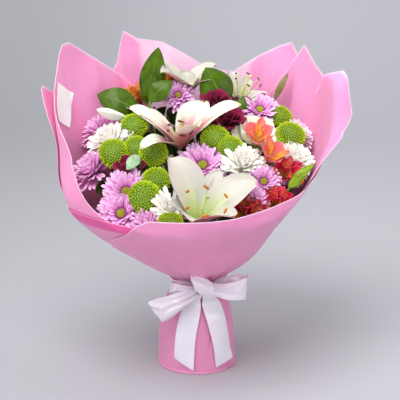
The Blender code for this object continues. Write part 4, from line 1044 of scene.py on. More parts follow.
def lily_parts(cluster, head):
    """A lily: six arched petals, each with its own length, width and chord."""
    size = head.size
    turn, length, width, chord = np.array(LILY_PETALS[head.node], float).T
    rows = 22
    t = np.arange(rows + 1)[None, :] / rows
    lean = np.radians(chord[:, None] + 0.5 * LILY_DROOP * (1 - t))
    reach = length[:, None] * t
    out = 0.04 * size + reach * np.cos(lean)
    tip_turn = np.clip((t - 0.78) / 0.22, 0, 1) ** 2
    up = 0.045 * size + reach * np.sin(lean) - 0.055 * length[:, None] * tip_turn
    angle = np.arctan2(np.gradient(up, axis=1), np.gradient(out, axis=1))
    pattern = petal_pattern(rows, 12)
    jitter = head.random.normal(0, 1, (2, 6))
    points, given = spread_petals(pattern, (out, up, angle), turn, width * LILY_FULLNESS,
                                  lily_outline, 0.30, in_mm("lily_petal"),
                                  (np.arange(6) + 0.5) / 6, ruffle=2.2, waves=1.6,
                                  phase=3 * jitter[0], twist=7 * jitter[1], tip=0.0, groove=1.5)
    given = given.copy()
    given[..., 2] = 0.5 * given[..., 2] + 0.5 * (pattern[2] < 0)
    add_petals(cluster, head.matrix, pattern, points, given)
    if head.node == BACK_LILY_STAMENS[0]:
        stamen_parts(cluster, head, *BACK_LILY_STAMENS[1:], (1, 2, 1))


def stamen_parts(cluster, head, reach, rise, nod, thick, long_half, finishes):
    """Six filaments with their anthers, and the style with its three-lobed stigma."""
    size, rng = head.size, head.random
    start = 0.09 * size
    bend = np.linspace(0, 1, 9)[:, None]
    up = np.array([0, -math.tan(math.radians(nod)), 1.0])
    filament, anther, stigma = finishes
    grain, grain_faces = ball(10, 8)
    for k in range(6):
        a = math.radians(60 * k + 30 + rng.normal(0, 6))
        out = np.array([math.cos(a), math.sin(a), 0])
        away = size * (reach + 0.01 * rng.normal())
        line = (out * (1.5 + away * bend ** 1.6) + np.array([0, 0, start - 2])
                + up * rise * size * bend)
        cluster.add_at(head.matrix, *tube(line, np.linspace(0.75, 0.45, 9), 7), (0.5, 0, 0.5),
                       filament)
        long_way = unit(np.array([-math.sin(a), math.cos(a), 0.5 + 0.4 * rng.normal()]))
        wide = unit(np.cross(long_way, out))
        basis = np.stack([wide, np.cross(long_way, wide), long_way], 0)
        notch = 1 - 0.25 * np.exp(-(grain[:, :1] / 0.3) ** 2)
        shape = (grain * np.array([thick, 0.8 * thick, long_half]) * notch) @ basis + line[-1]
        cluster.add_at(head.matrix, shape, grain_faces, (0.5, 0, rng.random()), anther)
    line = (np.array([0, 0, start - 3]) + up * (rise + 0.07) * size * bend
            + np.array([1.6, -1.0, 0]) * bend ** 2)
    cluster.add_at(head.matrix, *tube(line, np.linspace(1.3, 0.8, 9), 9), (0.6, 0, 0.5), filament)
    lobe, lobe_faces = ball(12, 8)
    angle = np.arctan2(lobe[:, 1], lobe[:, 0])
    lobe = lobe * np.array([2.3, 2.3, 1.5]) * (1 + 0.16 * np.cos(3 * angle))[:, None] + line[-1]
    cluster.add_at(head.matrix, lobe, lobe_faces, (0.2, 0, 0.5), stigma)


def bud_parts(cluster, head):
    """A long three-sided lily bud, closed to a point at its tip."""
    form, faces = ball(24, 20)
    u = (form[:, 2] + 1) / 2
    angle = np.arctan2(form[:, 1], form[:, 0])
    ribs = 0.9 + 0.1 * np.cos(3 * angle) - 0.05 * np.abs(np.sin(1.5 * angle)) ** 8
    radius = np.interp(u, *BUD_PROFILE) * ribs
    shape = np.stack([radius * np.cos(angle), radius * np.sin(angle), u], -1) * head.size
    cluster.add_at(head.matrix, shape, faces, np.stack([u, np.sin(3 * angle), 0 * u + 0.5], -1))


HEAD_PARTS = {"mum": mum_parts, "button": button_parts, "carnation": carnation_parts,
              "rose": rose_parts, "lily": lily_parts, "astro": astro_parts, "bud": bud_parts}


def add_heads(node, slot, *looks):
    """All heads of one node, with their calyxes and stalks. The last look is the stalk's."""
    heads = [head for head in HEADS if head.node == node]
    cluster = Cluster()
    stalk = len(looks) - 1
    finished = []
    tree = None if heads[0].kind in OVERLYING else overlay_tree()
    for head in heads:
        before = len(cluster.points)
        HEAD_PARTS[head.kind](cluster, head)
        if head.kind in CALYX:
            width, height, count = CALYX[head.kind]
            calyx(cluster, head, width * head.size, height * head.size, count, stalk)
        points = cluster.moved(before)
        if tree is not None:
            points = tuck_under(press_head(points, head), head, tree)
        finished.append(keep_inside(points))
    before = len(cluster.points)
    stalk_to_seat(cluster, heads, stalk)
    finished.append(cluster.moved(before))
    obj = cluster.piece(node + "_bloom", np.concatenate(finished))
    settle(obj, node, slot, *looks)
    return obj


def add_stamens(head):
    """The stamens that have a node of their own."""
    node, *form, look = STAMENS[head.node]
    cluster = Cluster()
    stamen_parts(cluster, head, *form, (0, 1, 2))
    obj = cluster.piece(head.node + "_pollen", cluster.moved())
    settle(obj, node, "anther", "filament", look, "stigma")


# Leaves

def leaf_blade(cluster, base, tip, width, arch, kind, rows=16, normal=(0, -1, 0.6)):
    """A pointed blade from base to tip, folded along its rib and arched."""
    base, tip = np.array(base, float), np.array(tip, float)
    along = tip - base
    side = unit(np.cross(along, normal))
    face = unit(np.cross(side, along))
    row, v, layer, faces, _ = petal_pattern(rows, 8)
    u = row / rows
    half = 0.5 * width * np.clip(np.sin(np.pi * u ** 0.85), 0, 1) ** 0.8 + 0.35
    wave = 0.35 * np.sin(9 * u + 4 * kind) * v * half * 0.25
    lift = arch * np.sin(np.pi * u) - 0.17 * half * np.abs(v) ** 1.3 + wave
    lift = lift + 0.5 * in_mm("leaf") * layer - 0.5 * np.exp(-(v / 0.09) ** 2)
    points = (base + np.outer(u, along) + np.outer(half * v, side) + np.outer(lift, face))
    cluster.add(points, faces, np.stack([u, v, 0 * u + kind], -1))


def add_leaf(node, blades):
    cluster = Cluster()
    for k, (base, tip, width, arch) in enumerate(blades):
        leaf_blade(cluster, base, tip, width, arch, 0.3 + 0.3 * k)
        low = np.array(base, float)
        from_x, from_y, from_height = LEAF_ORIGIN
        axis = unit(low - np.array([from_x * low[0], from_y * low[1], from_height]))
        start = low - axis * (12 if len(blades) == 1 else 15)
        line = bent_line(start, low, low + 0.2 * (np.array(tip, float) - low), 7)
        cluster.add(*tube(line, np.linspace(1.8, 0.9, 7)), (0.1, 0, 0.5), 1)
    obj = cluster.piece(node + "_blade", keep_inside(cluster.moved()))
    settle(obj, node, "leaf", LEAF_LOOKS.get(node, "leaf"), "stalk")
    OVERLAYS.append(obj)


def add_undergrowth():
    """Foliage on the stems below the heads, which closes the gaps between them."""
    rng = np.random.default_rng(7)
    cluster = Cluster()
    for k in range(UNDERGROWTH_COUNT):
        radius = UNDERGROWTH_RADIUS * math.sqrt((k + 0.5) / UNDERGROWTH_COUNT)
        angle = math.radians(GOLDEN * k)
        x, y = radius * math.cos(angle), 0.93 * radius * math.sin(angle) - 8
        top = np.array([x, y, dome(x, y) - UNDERGROWTH_BELOW - UNDERGROWTH_SCATTER * rng.random()])
        low = np.array([0.66 * x, 0.66 * y, top[2] - UNDERGROWTH_STALK])
        axis = unit(top - low)
        spin = 2 * math.pi * rng.random()
        out = unit(np.array([math.cos(spin), math.sin(spin), 0.5]) + 0.5 * axis)
        tip = top + out * (UNDERGROWTH_LENGTH + UNDERGROWTH_LONGER * rng.random())
        tip[2] = min(tip[2], dome(tip[0], tip[1]) - UNDERGROWTH_CEILING)
        width = UNDERGROWTH_WIDTH + UNDERGROWTH_WIDER * rng.random()
        leaf_blade(cluster, top, tip, width, 3.0, rng.random(), rows=6,
                   normal=unit(np.array([-math.sin(spin), math.cos(spin), 0.2])))
        stalk = tube([low, top - axis * 8, top + 0.2 * (tip - top)], (1.3, 1.0, 0.6), 5)
        cluster.add(*stalk, (0.1, 0, 0.5), 1)
    obj = cluster.piece("undergrowth", keep_inside(cluster.moved()))
    # The undergrowth's darker green is painted shade below the heads
    settle(obj, None, "leaf", "leaf_deep", "stalk")


# Paper

def add_sheet(name):
    """One sheet of paper: a fine grid laid on the common form and given its thickness."""
    layer, rim = SHEETS[name]
    knots = np.array(rim, float)
    azimuths = np.arange(knots[0, 0], knots[-1, 0] + 0.1, 1.0)
    for knot in knots[:, 0]:
        azimuths[np.abs(azimuths - knot).argmin()] = knot
    obj, column, row = add_grid(name + "_paper", len(azimuths) - 1, SHEET_ROWS)
    azimuth = azimuths[column.astype(int)]
    top = np.interp(azimuth, knots[:, 0], knots[:, 1])
    height = HEM + (top - HEM) * row / SHEET_ROWS
    set_coordinates(obj, sheet_point(name, layer, azimuth, height) * MM)
    # The third value marks the rim, where a highlight is painted
    mark(obj, "paper", np.stack([np.radians(azimuth) * PAPER_UNROLLED, height * MM,
                                 1.0 * (row == SHEET_ROWS)], -1))
    outer = len(obj.data.vertices)
    thicken(obj, sizes().paper, 1.0, even=True)
    found = marks(obj, "paper")
    found[:, 2] *= -1
    # Painted shade and light on one face: a deeper pink on the left fold's rolled rim, and a paler
    # pink where light shines through the back sheet
    share, strip, low, high, face = PAINTED_SHADE_AND_LIGHT.get(name, NO_PAINTED_SHADE_OR_LIGHT)
    window = smooth((azimuth - low) / 8) * smooth((high - azimuth) / 8)
    window = window * smooth((height - top + strip) / 5 + 1)
    found[face * outer:(face + 1) * outer, 2] += share * window
    mark(obj, "paper", found)
    soften(obj, 50)
    settle(obj, name, "wrap", "paper")


def add_label():
    columns, rows = LABEL_GRID
    obj, column, row = add_grid("label_sticker", columns, rows)
    s, t = column / columns, row / rows
    low, high = ([a + (b - a) * s for a, b in zip(*ends)] for ends in (LABEL_LOW, LABEL_HIGH))
    azimuth, height = (a + (b - a) * t for a, b in zip(low, high))
    set_coordinates(obj, sheet_point("label", 0, azimuth, height, LABEL_INSIDE) * MM)
    thicken(obj, LABEL_THICKNESS * MM, 1.0)
    make_normals_outward(obj)
    soften(obj)
    settle(obj, "label", "label", "label")


def add_foot():
    """The gathered foot: a closed base, a full barrel and pleats that tighten into the neck."""
    columns, rows = FOOT_GRID
    obj, column, row = add_grid("paper_foot_wrap", columns, rows)
    azimuth = 360.0 * column / columns
    knots = np.arange(len(FOOT_PROFILE))
    p = (len(FOOT_PROFILE) - 1) * row / rows
    height, radius = (np.maximum(curve_through(knots, values, p), 0.0)
                      for values in zip(*FOOT_PROFILE))
    radius = np.where(p < 1, FOOT_FLAT * p, radius)
    height = np.where(p < 1, 0.0, height)
    a = np.radians(azimuth)
    fall = smooth((FOOT_NECK - height) / 24)
    radius = radius - FOOT_LOBE_DEPTH * smooth((height - 1) / 20) * fall * (
        1 + np.cos(FOOT_LOBES * a))
    radius = radius + FOOT_BULGE * np.maximum(0, -np.cos(a)) ** 2 * fall * np.minimum(p, 1)
    for low_azimuth, high_azimuth, low, high, width, depth in FOOT_FOLDS:
        share = np.clip((height - low) / (high - low), 0, 1)
        middle = low_azimuth + (high_azimuth - low_azimuth) * share
        away = (azimuth - middle + 180) % 360 - 180
        fade = smooth((height - low + 8) / 10) * smooth((high + 8 - height) / 10)
        radius = radius - depth * fade * np.exp(-(away / width) ** 2)
    gather = smooth((height - FOOT_GATHER_LOW) / FOOT_GATHER_RISE) * smooth(p / 2)
    radius = radius - gather * neck_pleats(a) * FOOT_GATHER
    set_coordinates(obj, polar(azimuth, radius, height) * MM)
    mark(obj, "paper", np.stack([a * FOOT_UNROLLED, height * MM, 0 * a], -1))
    merge(obj)
    thicken(obj, sizes().paper, -1.0, even=True)
    soften(obj, 50)
    settle(obj, "paper_foot", "wrap", "paper")


# Satin bow

def foot_radius(height):
    return np.interp(height, *zip(*FOOT_PROFILE[1:]))


def finish_ribbon(obj, points, middle, row, edge):
    """Shape a strip, mark its threads and thicken it. Returns it with its length."""
    run = np.concatenate([[0], np.cumsum(np.linalg.norm(np.diff(middle, axis=0), axis=1))])
    set_coordinates(obj, points * MM)
    mark(obj, "satin", np.stack([edge * THREAD_HALF, run[row] * MM, 0 * edge], -1))
    thicken(obj, sizes().satin)
    return obj, run[-1]


def begin_ribbon(name, steps):
    """A strip's grid, with the step of each point and its place across from -1 to 1."""
    obj, column, row = add_grid(name, RIBBON_COLUMNS, steps)
    return obj, row.astype(int), 2 * column / RIBBON_COLUMNS - 1


def tail_strip(name, cut, swing, shares, path):
    """A tail that lies down the front of the foot, with a slow wave and a slanted end."""
    p = (len(path) - 1) * np.arange(TAIL_STEPS + 1) / TAIL_STEPS
    azimuth, height, off = (curve_through(np.arange(len(path)), values, p) for values in zip(*path))
    share = curve_through(TAIL_SHARES_AT, shares, p)
    obj, row, edge = begin_ribbon(name, TAIL_STEPS)
    t = row / TAIL_STEPS
    lift = np.maximum(off, 0)[row] + 1.9 + 0.9 * np.sin(5.0 * t + swing) * smooth(t * 3)
    lift = lift + 0.7 * edge ** 2 * np.sin(7 * t + 2 * swing)
    lift = lift + 1.6 * smooth((t - 0.9) / 0.1) * edge * swing
    radius = np.maximum(foot_radius(height), BAND_INNER + 0.9)[row] + np.maximum(lift, 0.8)
    half = np.degrees(0.5 * in_mm("ribbon") * share[row] / radius)
    drop = cut * edge * smooth((t - 0.86) / 0.14)
    points = polar(azimuth[row] + half * edge, radius, height[row] + drop)
    return finish_ribbon(obj, points, points[np.abs(edge) < 0.01], row, edge)


def loop_strip(name, end, direction, spread, skew, depth, dent):
    """A puffed loop: out from the knot, round a folded end and back, pleated where it is tied."""
    start, end, direction = np.array(BOW_CENTRE), np.array(end), np.array(direction)
    angle = 2 * np.pi * np.arange(LOOP_STEPS + 1) / LOOP_STEPS
    out = 0.5 - 0.5 * np.cos(angle)
    centres = start + np.outer(0.14 + 0.86 * out, end - start)
    puff = 0.30 + 0.70 * np.sin(np.pi * out ** 0.8) + 0.25 * out
    centres[:, 1] += depth * np.sin(angle) * puff
    centres -= np.outer(skew * np.sin(angle) * out ** 0.5, direction)
    share = (0.34 + 0.66 * out ** 0.7) * spread
    halves = np.outer(0.5 * in_mm("ribbon") * share, direction)
    obj, row, edge = begin_ribbon(name, LOOP_STEPS)
    t = row / LOOP_STEPS
    a = 2 * np.pi * t
    near = (0.5 + 0.5 * np.cos(a)) ** 1.3
    front = np.sign(np.sin(a) + 1e-9)
    pleat = 2.8 * near * np.cos(3.2 * np.pi * edge) * front
    crease = 1.5 * np.sin(a) * np.cos(2.3 * np.pi * edge + 0.7) * (0.35 + 0.65 * near)
    drawn_in = -dent * (1 - np.abs(edge) ** 1.4) * np.exp(-((t - 0.5) / 0.085) ** 2)
    ridge_at = 1.05 - np.abs(t - 0.5) / 0.15
    ridge = 3.4 * np.exp(-((np.abs(edge) - ridge_at) / 0.22) ** 2) * smooth(ridge_at * 3 + 0.4)
    points = centres[row] + halves[row] * edge[:, None]
    points = points + (np.outer(pleat + crease + ridge * front, (0, 1, 0))
                       + np.outer(drawn_in + 0.5 * edge ** 2 * (1 - near), unit(end - start)))
    return finish_ribbon(obj, points, centres, row, edge)


def add_bow():
    """Knot, two loops, a small back loop and two tails, joined into one piece."""
    strips = [loop_strip(name, *form) for name, form in LOOPS.items()]
    strips += [tail_strip(name, *form) for name, form in TAILS.items()]
    columns, rows = KNOT_GRID
    knot, column, row = add_grid("knot", columns, rows)
    s, a = 2 * column / columns - 1, 2 * np.pi * row / rows
    belly = np.interp(s, *KNOT_BELLY)
    pleat = 1 + 0.07 * np.cos(5 * a + 1.6 * s) + 0.03 * np.cos(11 * a - 2 * s)
    rise = KNOT_HALF[2] * np.sin(a) * belly * pleat
    across = KNOT_HALF[0] * (s + 0.10 * np.cos(a)) - KNOT_SHEAR * rise * (1 - s) / 2
    shape = np.stack([across, -KNOT_HALF[1] * np.cos(a) * belly ** 0.6 * pleat, rise], -1)
    slope = math.radians(KNOT_SLOPE)
    turn = np.array([[math.cos(slope), 0, math.sin(slope)], [0, 1, 0],
                     [-math.sin(slope), 0, math.cos(slope)]])
    set_coordinates(knot, (shape @ turn.T + np.array(KNOT_CENTRE)) * MM)
    mark(knot, "satin", np.stack([s * THREAD_HALF, a * KNOT_UNROLLED, 0 * s], -1))
    merge(knot)
    make_normals_outward(knot)
    thicken(knot, sizes().satin, -1.0)
    pick(knot)
    for strip, _ in strips:
        strip.select_set(True)
    bpy.ops.object.join()
    knot.name = "satin_bow"
    soften(knot, 60)
    settle(knot, "ribbon_bow", "satin", "satin")
    knot_run = math.pi * (KNOT_HALF[1] + KNOT_HALF[2])
    return knot, sum(run for _, run in strips) + knot_run


def add_band():
    """The ribbon's turns round the neck, softly creased."""
    columns, rows = BAND_GRID
    obj, column, row = add_grid("satin_band", columns, rows)
    azimuth = 360.0 * column / columns
    a, t = np.radians(azimuth), row / rows
    radius = BAND_INNER + 0.5 + 0.45 * np.sin(np.pi * t)
    radius = radius + 0.22 * np.sin(3 * np.pi * t + 2 * np.sin(2 * a))
    height = BAND_LOW + (BAND_HIGH - BAND_LOW) * t + 0.3 * np.sin(5 * a) * (2 * t - 1)
    set_coordinates(obj, polar(azimuth, radius, height) * MM)
    mark(obj, "satin", np.stack([t * THREAD_HALF, a * BAND_UNROLLED, 0 * a], -1))
    merge(obj)
    make_normals_outward(obj)
    thicken(obj, sizes().satin)
    soften(obj, 60)
    settle(obj, "ribbon_band", "satin", "satin")
    return obj


# Materials

MATERIALS = {}
GROUPS = {}


def put(tree, kind, inputs=None, **settings):
    """Add a node, set its options, and link or set its inputs."""
    made = tree.nodes.new(kind)
    for key, value in settings.items():
        setattr(made, key, value)
    for socket, value in (inputs or {}).items():
        target = made.inputs[socket]
        if isinstance(value, bpy.types.NodeSocket):
            tree.links.new(value, target)
        else:
            target.default_value = value
    return made


def rgba(colour, scale=1.0):
    return (*(min(1.0, c * scale) for c in tuple(colour)[:3]), 1.0)


def maths(tree, operation, a, b=0.0):
    return put(tree, "ShaderNodeMath", {0: a, 1: b}, operation=operation).outputs[0]


def times(tree, a, b):
    return maths(tree, "MULTIPLY", a, b)


def plus(tree, a, b):
    return maths(tree, "ADD", a, b)


def one_less(tree, a):
    return maths(tree, "SUBTRACT", 1.0, a)


def ramp(tree, value, low, high):
    """A mask that rises smoothly from 0 at low to 1 at high."""
    made = put(tree, "ShaderNodeMapRange", {"Value": value, "From Min": low, "From Max": high},
               interpolation_type="SMOOTHSTEP")
    return made.outputs["Result"]


def mix(tree, share, a, b, blend="MIX"):
    made = put(tree, "ShaderNodeMix", {0: share, 6: a, 7: b}, data_type="RGBA", blend_type=blend)
    return made.outputs[2]


def noise(tree, vector, scale, detail, roughness=0.5):
    made = put(tree, "ShaderNodeTexNoise", {"Vector": vector, "Scale": scale, "Detail": detail,
                                            "Roughness": roughness})
    return made.outputs["Fac"]


def stretched(tree, *pairs):
    """A place for a pattern: up to three values, each stretched by a factor."""
    scaled = {axis: times(tree, *pair) for axis, pair in enumerate(pairs)}
    return put(tree, "ShaderNodeCombineXYZ", scaled).outputs[0]


def send(tree, out, **values):
    """Link values to the outputs of a group, by their names."""
    for label, value in values.items():
        tree.links.new(value, out[label])


FLOAT, TINT = "NodeSocketFloat", "NodeSocketColor"
WHITE = (1, 1, 1, 1)


def begin_group(name, inputs, outputs):
    """A shader node group with named inputs and outputs."""
    tree = bpy.data.node_groups.new(name, "ShaderNodeTree")
    for label, default in inputs.items():
        kind = TINT if default is WHITE else FLOAT
        socket = tree.interface.new_socket(name=label, in_out="INPUT", socket_type=kind)
        socket.default_value = default
    for label in outputs:
        kind = TINT if label == "Color" else FLOAT
        tree.interface.new_socket(name=label, in_out="OUTPUT", socket_type=kind)
    GROUPS[name] = tree
    return tree, put(tree, "NodeGroupInput").outputs, put(tree, "NodeGroupOutput").inputs


def split_mark(tree, name):
    made = put(tree, "ShaderNodeAttribute", attribute_name=name)
    parts = put(tree, "ShaderNodeSeparateXYZ", {0: made.outputs["Vector"]}).outputs
    return parts["X"], parts["Y"], parts["Z"]


def make_petal_group():
    """Colour from root to tip with fine streaks along the petal, and their height."""
    tree, given, out = begin_group("petal_tones", {
        "Root": WHITE, "Body": WHITE, "Tip": WHITE, "Root Reach": 0.3, "Tip Start": 0.7,
        "Streaks": 0.3, "Count": 4.0, "Variation": 0.2}, ("Color", "Height"))
    u, v, k = split_mark(tree, "petal")
    colour = mix(tree, ramp(tree, u, 0.0, given["Root Reach"]), given["Root"], given["Body"])
    colour = mix(tree, ramp(tree, u, given["Tip Start"], 1.0), colour, given["Tip"])
    place = stretched(tree, (v, given["Count"]), (u, 1.6), (k, 37.0))
    streak = ramp(tree, noise(tree, place, 1.0, 3.0), 0.35, 0.65)
    dark = mix(tree, 1.0, colour, (0.66, 0.56, 0.62, 1), "MULTIPLY")
    colour = mix(tree, times(tree, streak, given["Streaks"]), colour, dark)
    spread = times(tree, maths(tree, "SUBTRACT", k, 0.5), given["Variation"])
    toned = put(tree, "ShaderNodeHueSaturation",
                {"Value": plus(tree, 1.0, spread), "Color": colour})
    send(tree, out, Color=toned.outputs[0], Height=streak)


def make_lily_group():
    """Masks of a lily petal: its midrib, the tinted zone with its spots, long veins and back."""
    tree, given, out = begin_group("lily_marks", {"Spot Scale": 40.0},
                                   ("Rib", "Zone", "Spots", "Veins", "Back"))
    u, v, k = split_mark(tree, "petal")
    width = maths(tree, "ABSOLUTE", v)
    rib = times(tree, one_less(tree, ramp(tree, width, 0.02, 0.30)),
                one_less(tree, ramp(tree, u, 0.50, 0.95)))
    cells = put(tree, "ShaderNodeTexVoronoi", {
        "Vector": stretched(tree, (u, 1.9), (v, 1.0), (k, 9.0)), "Scale": given["Spot Scale"]})
    dots = one_less(tree, ramp(tree, cells.outputs["Distance"], 0.12, 0.34))
    zone = times(tree, one_less(tree, ramp(tree, u, 0.28, 0.62)),
                 one_less(tree, ramp(tree, width, 0.45, 0.95)))
    back = times(tree, ramp(tree, k, 0.47, 0.53), one_less(tree, ramp(tree, u, 0.20, 0.75)))
    veins = noise(tree, stretched(tree, (v, 9.0), (u, 1.2), (k, 5.0)), 1.0, 3.0)
    send(tree, out, Rib=rib, Zone=zone, Spots=times(tree, dots, zone), Veins=veins, Back=back)


def make_paper_group():
    """Fibre and faint creases of wrapping paper, from Object coordinates."""
    tree, given, out = begin_group("paper_fibre", {"Scale": 900.0, "Crease": 18.0},
                                   ("Height", "Tone"))
    place = put(tree, "ShaderNodeTexCoord").outputs["Object"]
    fibre = noise(tree, place, given["Scale"], 4.0, 0.6)
    crease = noise(tree, place, given["Crease"], 3.0)
    ridge = maths(tree, "ABSOLUTE", maths(tree, "SUBTRACT", crease, 0.5))
    line = one_less(tree, ramp(tree, ridge, 0.0, 0.035))
    height = plus(tree, times(tree, fibre, 0.5), times(tree, line, 0.4))
    send(tree, out, Height=height, Tone=crease)


def make_satin_group():
    """Fine crosswise threads of satin, and slow bands of painted sheen in its colour."""
    tree, given, out = begin_group("satin_threads", {"Threads": 2600.0}, ("Height", "Tone"))
    across, along, _ = split_mark(tree, "satin")
    warp, weft = (maths(tree, "SINE", times(tree, way, given["Threads"]))
                  for way in (across, along))
    height = plus(tree, times(tree, warp, 0.3), times(tree, weft, 0.5))
    tone = noise(tree, stretched(tree, (across, 220.0), (along, 45.0)), 1.0, 2.0)
    send(tree, out, Height=height, Tone=tone)


def make_leaf_group():
    """Midrib and the long veins that run beside it, bowed with the blade's edge."""
    tree, given, out = begin_group("leaf_veins", {"Count": 16.0}, ("Rib", "Veins", "Patches"))
    u, v, k = split_mark(tree, "petal")
    rib = one_less(tree, ramp(tree, maths(tree, "ABSOLUTE", v), 0.015, 0.075))
    wave = maths(tree, "SINE", times(tree, v, times(tree, given["Count"], math.pi)))
    patches = noise(tree, stretched(tree, (u, 5.0), (v, 2.0), (k, 11.0)), 1.0, 3.0)
    send(tree, out, Rib=rib, Veins=ramp(tree, wave, 0.45, 1.0), Patches=patches)


def group_node(tree, name, inputs=None):
    made = put(tree, "ShaderNodeGroup")
    made.node_tree = GROUPS[name]
    for label, value in (inputs or {}).items():
        made.inputs[label].default_value = value
    return made.outputs


def begin_material(name, **constants):
    material = bpy.data.materials.new(name)
    material.use_nodes = True
    tree = material.node_tree
    shader = tree.nodes["Principled BSDF"]
    for label, value in constants.items():
        shader.inputs[label.replace("_", " ")].default_value = value
    MATERIALS[name] = material
    return tree, shader


def finish_look(tree, shader, colour, height=None, distance=0.0, strength=0.6):
    """Give a shader its colour and its fine relief."""
    tree.links.new(colour, shader.inputs["Base Color"])
    if height is not None:
        made = put(tree, "ShaderNodeBump", {"Height": height, "Distance": distance,
                                            "Strength": strength})
        tree.links.new(made.outputs["Normal"], shader.inputs["Normal"])


# Petals: tone at the root, on the body and at the tip, how far the root reaches, where the tip
# starts, streaks and their number, variation, roughness, and how much light comes through. A tone
# that isn't given is the setting of that name, and a tip's is then the body's.
PETAL_LOOKS = {
    # Painted shade: the lilac's dark magenta root, reaching far along the petal, stands in for the
    # shade between the petals
    "lilac": ((0.42, 0.06, 0.34), None, (0.96, 0.62, 0.90), 0.46, 0.6, 0.25, 3.5, 0.2, 0.55, 0.25),
    "blush": ((0.80, 0.55, 0.70), (0.93, 0.84, 0.88), (0.95, 0.90, 0.92), 0.4, 0.6, 0.15, 4.0,
              0.25, 0.55, 0.3),
    "white": ((0.96, 0.92, 0.76), None, None, 0.28, 0.7, 0.04, 3.5, 0.03, 0.55, 0.4),
    # Painted shade: the dark root of each green floret stands in for the shade between the florets
    "green": ((0.14, 0.27, 0.001), None, (0.60, 0.78, 0.03), 0.62, 0.7, 0.10, 2.0, 0.16, 0.55, 0.1),
    "crimson": ((0.05, 0.001, 0.008), (0.17, 0.001, 0.028), (0.28, 0.006, 0.06), 0.5, 0.75, 0.35,
                5.0, 0.4, 0.6, 0.05),
    "cream": ((0.42, 0.55, 0.12), (0.90, 0.88, 0.66), (0.93, 0.92, 0.78), 0.5, 0.75, 0.10, 6.0,
              0.08, 0.55, 0.3),
    "bud": ((0.45, 0.60, 0.20), (0.88, 0.88, 0.82), (0.92, 0.9, 0.86), 0.3, 0.8, 0.15, 4.0, 0.25,
            0.55, 0.15),
}
# Alstroemerias: the tones of body and tip
STAR_LOOKS = {
    "coral": ((0.86, 0.16, 0.17), (0.90, 0.26, 0.32)),
    "red": ((0.66, 0.012, 0.06), (0.78, 0.05, 0.14)),
    "crimson_star": ((0.46, 0.006, 0.03), (0.56, 0.015, 0.06)),
    "gold": ((0.86, 0.34, 0.05), (0.80, 0.20, 0.30)),
}
STAR_ROOT = (0.75, 0.30, 0.05)
STAR_FORM = (0.25, 0.8, 0.25, 5.0, 0.1, 0.55, 0.15)
# Lilies: body, throat and tip, and for rib, zone, spots and back each a tone and its share
LILY_LOOKS = {
    # lily_pale takes the Lily colour, whose grey is painted shade
    "lily_pale": (None, (0.46, 0.58, 0.12), (0.60, 0.60, 0.42),
                  ((0.58, 0.62, 0.40), 0.30), ((0.52, 0.60, 0.20), 0.35),
                  ((0.50, 0.52, 0.20), 0.10), ((0.50, 0.56, 0.30), 0.35)),
    "lily_pink": ((0.76, 0.76, 0.62), (0.60, 0.42, 0.24), (0.62, 0.60, 0.30),
                  ((0.70, 0.20, 0.28), 0.60), ((0.42, 0.07, 0.13), 0.95),
                  ((0.22, 0.005, 0.03), 0.9), ((0.42, 0.22, 0.18), 0.75)),
}
# Leaves: tone, tone and share of the veins, and roughness
LEAF_TONES = {
    "leaf": (None, (0.15, 0.25, 0.02), 0.25, 0.30),
    # Undergrowth leaves, darker as painted shade below the heads
    "leaf_deep": ((0.022, 0.055, 0.004), (0.06, 0.12, 0.02), 0.25, 0.5),
    "leaf_bright": ((0.16, 0.25, 0.004), (0.30, 0.38, 0.03), 0.25, 0.34),
    "leaf_pale": ((0.26, 0.40, 0.24), (0.42, 0.55, 0.38), 0.15, 0.5),
    "leaf_olive": ((0.17, 0.16, 0.05), (0.28, 0.26, 0.10), 0.25, 0.5),
}
# Small pieces: tone, scale of the grain, roughness, depth of the grain in metres, and contrast
GRAINED_LOOKS = {
    "label": ((0.99, 0.98, 1.0), 1400.0, 0.45, 0.00008, 0.02),
    "stalk": ((0.12, 0.23, 0.02), 500.0, 0.5, 0.0002, 0.25),
    "filament": ((0.58, 0.64, 0.20), 500.0, 0.45, 0.0002, 0.25),
    "anther": ((0.50, 0.15, 0.01), 3500.0, 0.85, 0.0003, 0.35),
    "anther_dark": ((0.16, 0.035, 0.02), 3500.0, 0.85, 0.0003, 0.35),
    "stigma": ((0.32, 0.30, 0.08), 900.0, 0.35, 0.0002, 0.25),
    "eye_green": ((0.48, 0.56, 0.03), 1800.0, 0.6, 0.0002, 0.25),
    "core_lime": ((0.10, 0.20, 0.001), 900.0, 0.7, 0.0002, 0.25),
    # A dark magenta core, painted shade in the gaps between the lilac petals
    "core_lilac": ((0.26, 0.05, 0.20), 900.0, 0.7, 0.0002, 0.25),
    "core_pale": ((0.66, 0.72, 0.42), 900.0, 0.7, 0.0002, 0.25),
    "stem": ((0.10, 0.19, 0.03), 400.0, 0.5, 0.0002, 0.25),
    "string": ((0.50, 0.38, 0.22), 2200.0, 0.8, 0.0004, 0.35),
}
# Pale pink painted as light: a highlight along the paper's rims and light shining through the back
# sheet
PAINTED_LIGHT_TONE = (0.95, 0.62, 0.80, 1)


def petal_material(name, root, body, tip, reach, start, streaks, count, variation, rough, through):
    body = body or getattr(colours(), name)
    tree, shader = begin_material(name, Roughness=rough, Subsurface_Weight=through,
                                  Subsurface_Radius=(1.0, 0.95, 0.9), Subsurface_Scale=0.003,
                                  Sheen_Weight=0.06, Specular_IOR_Level=0.2)
    made = group_node(tree, "petal_tones", {
        "Root": rgba(root), "Body": rgba(body), "Tip": rgba(tip or body), "Root Reach": reach,
        "Tip Start": start, "Streaks": streaks, "Count": count, "Variation": variation})
    finish_look(tree, shader, made["Color"], made["Height"], 0.0003)
    return tree, shader, made["Color"]


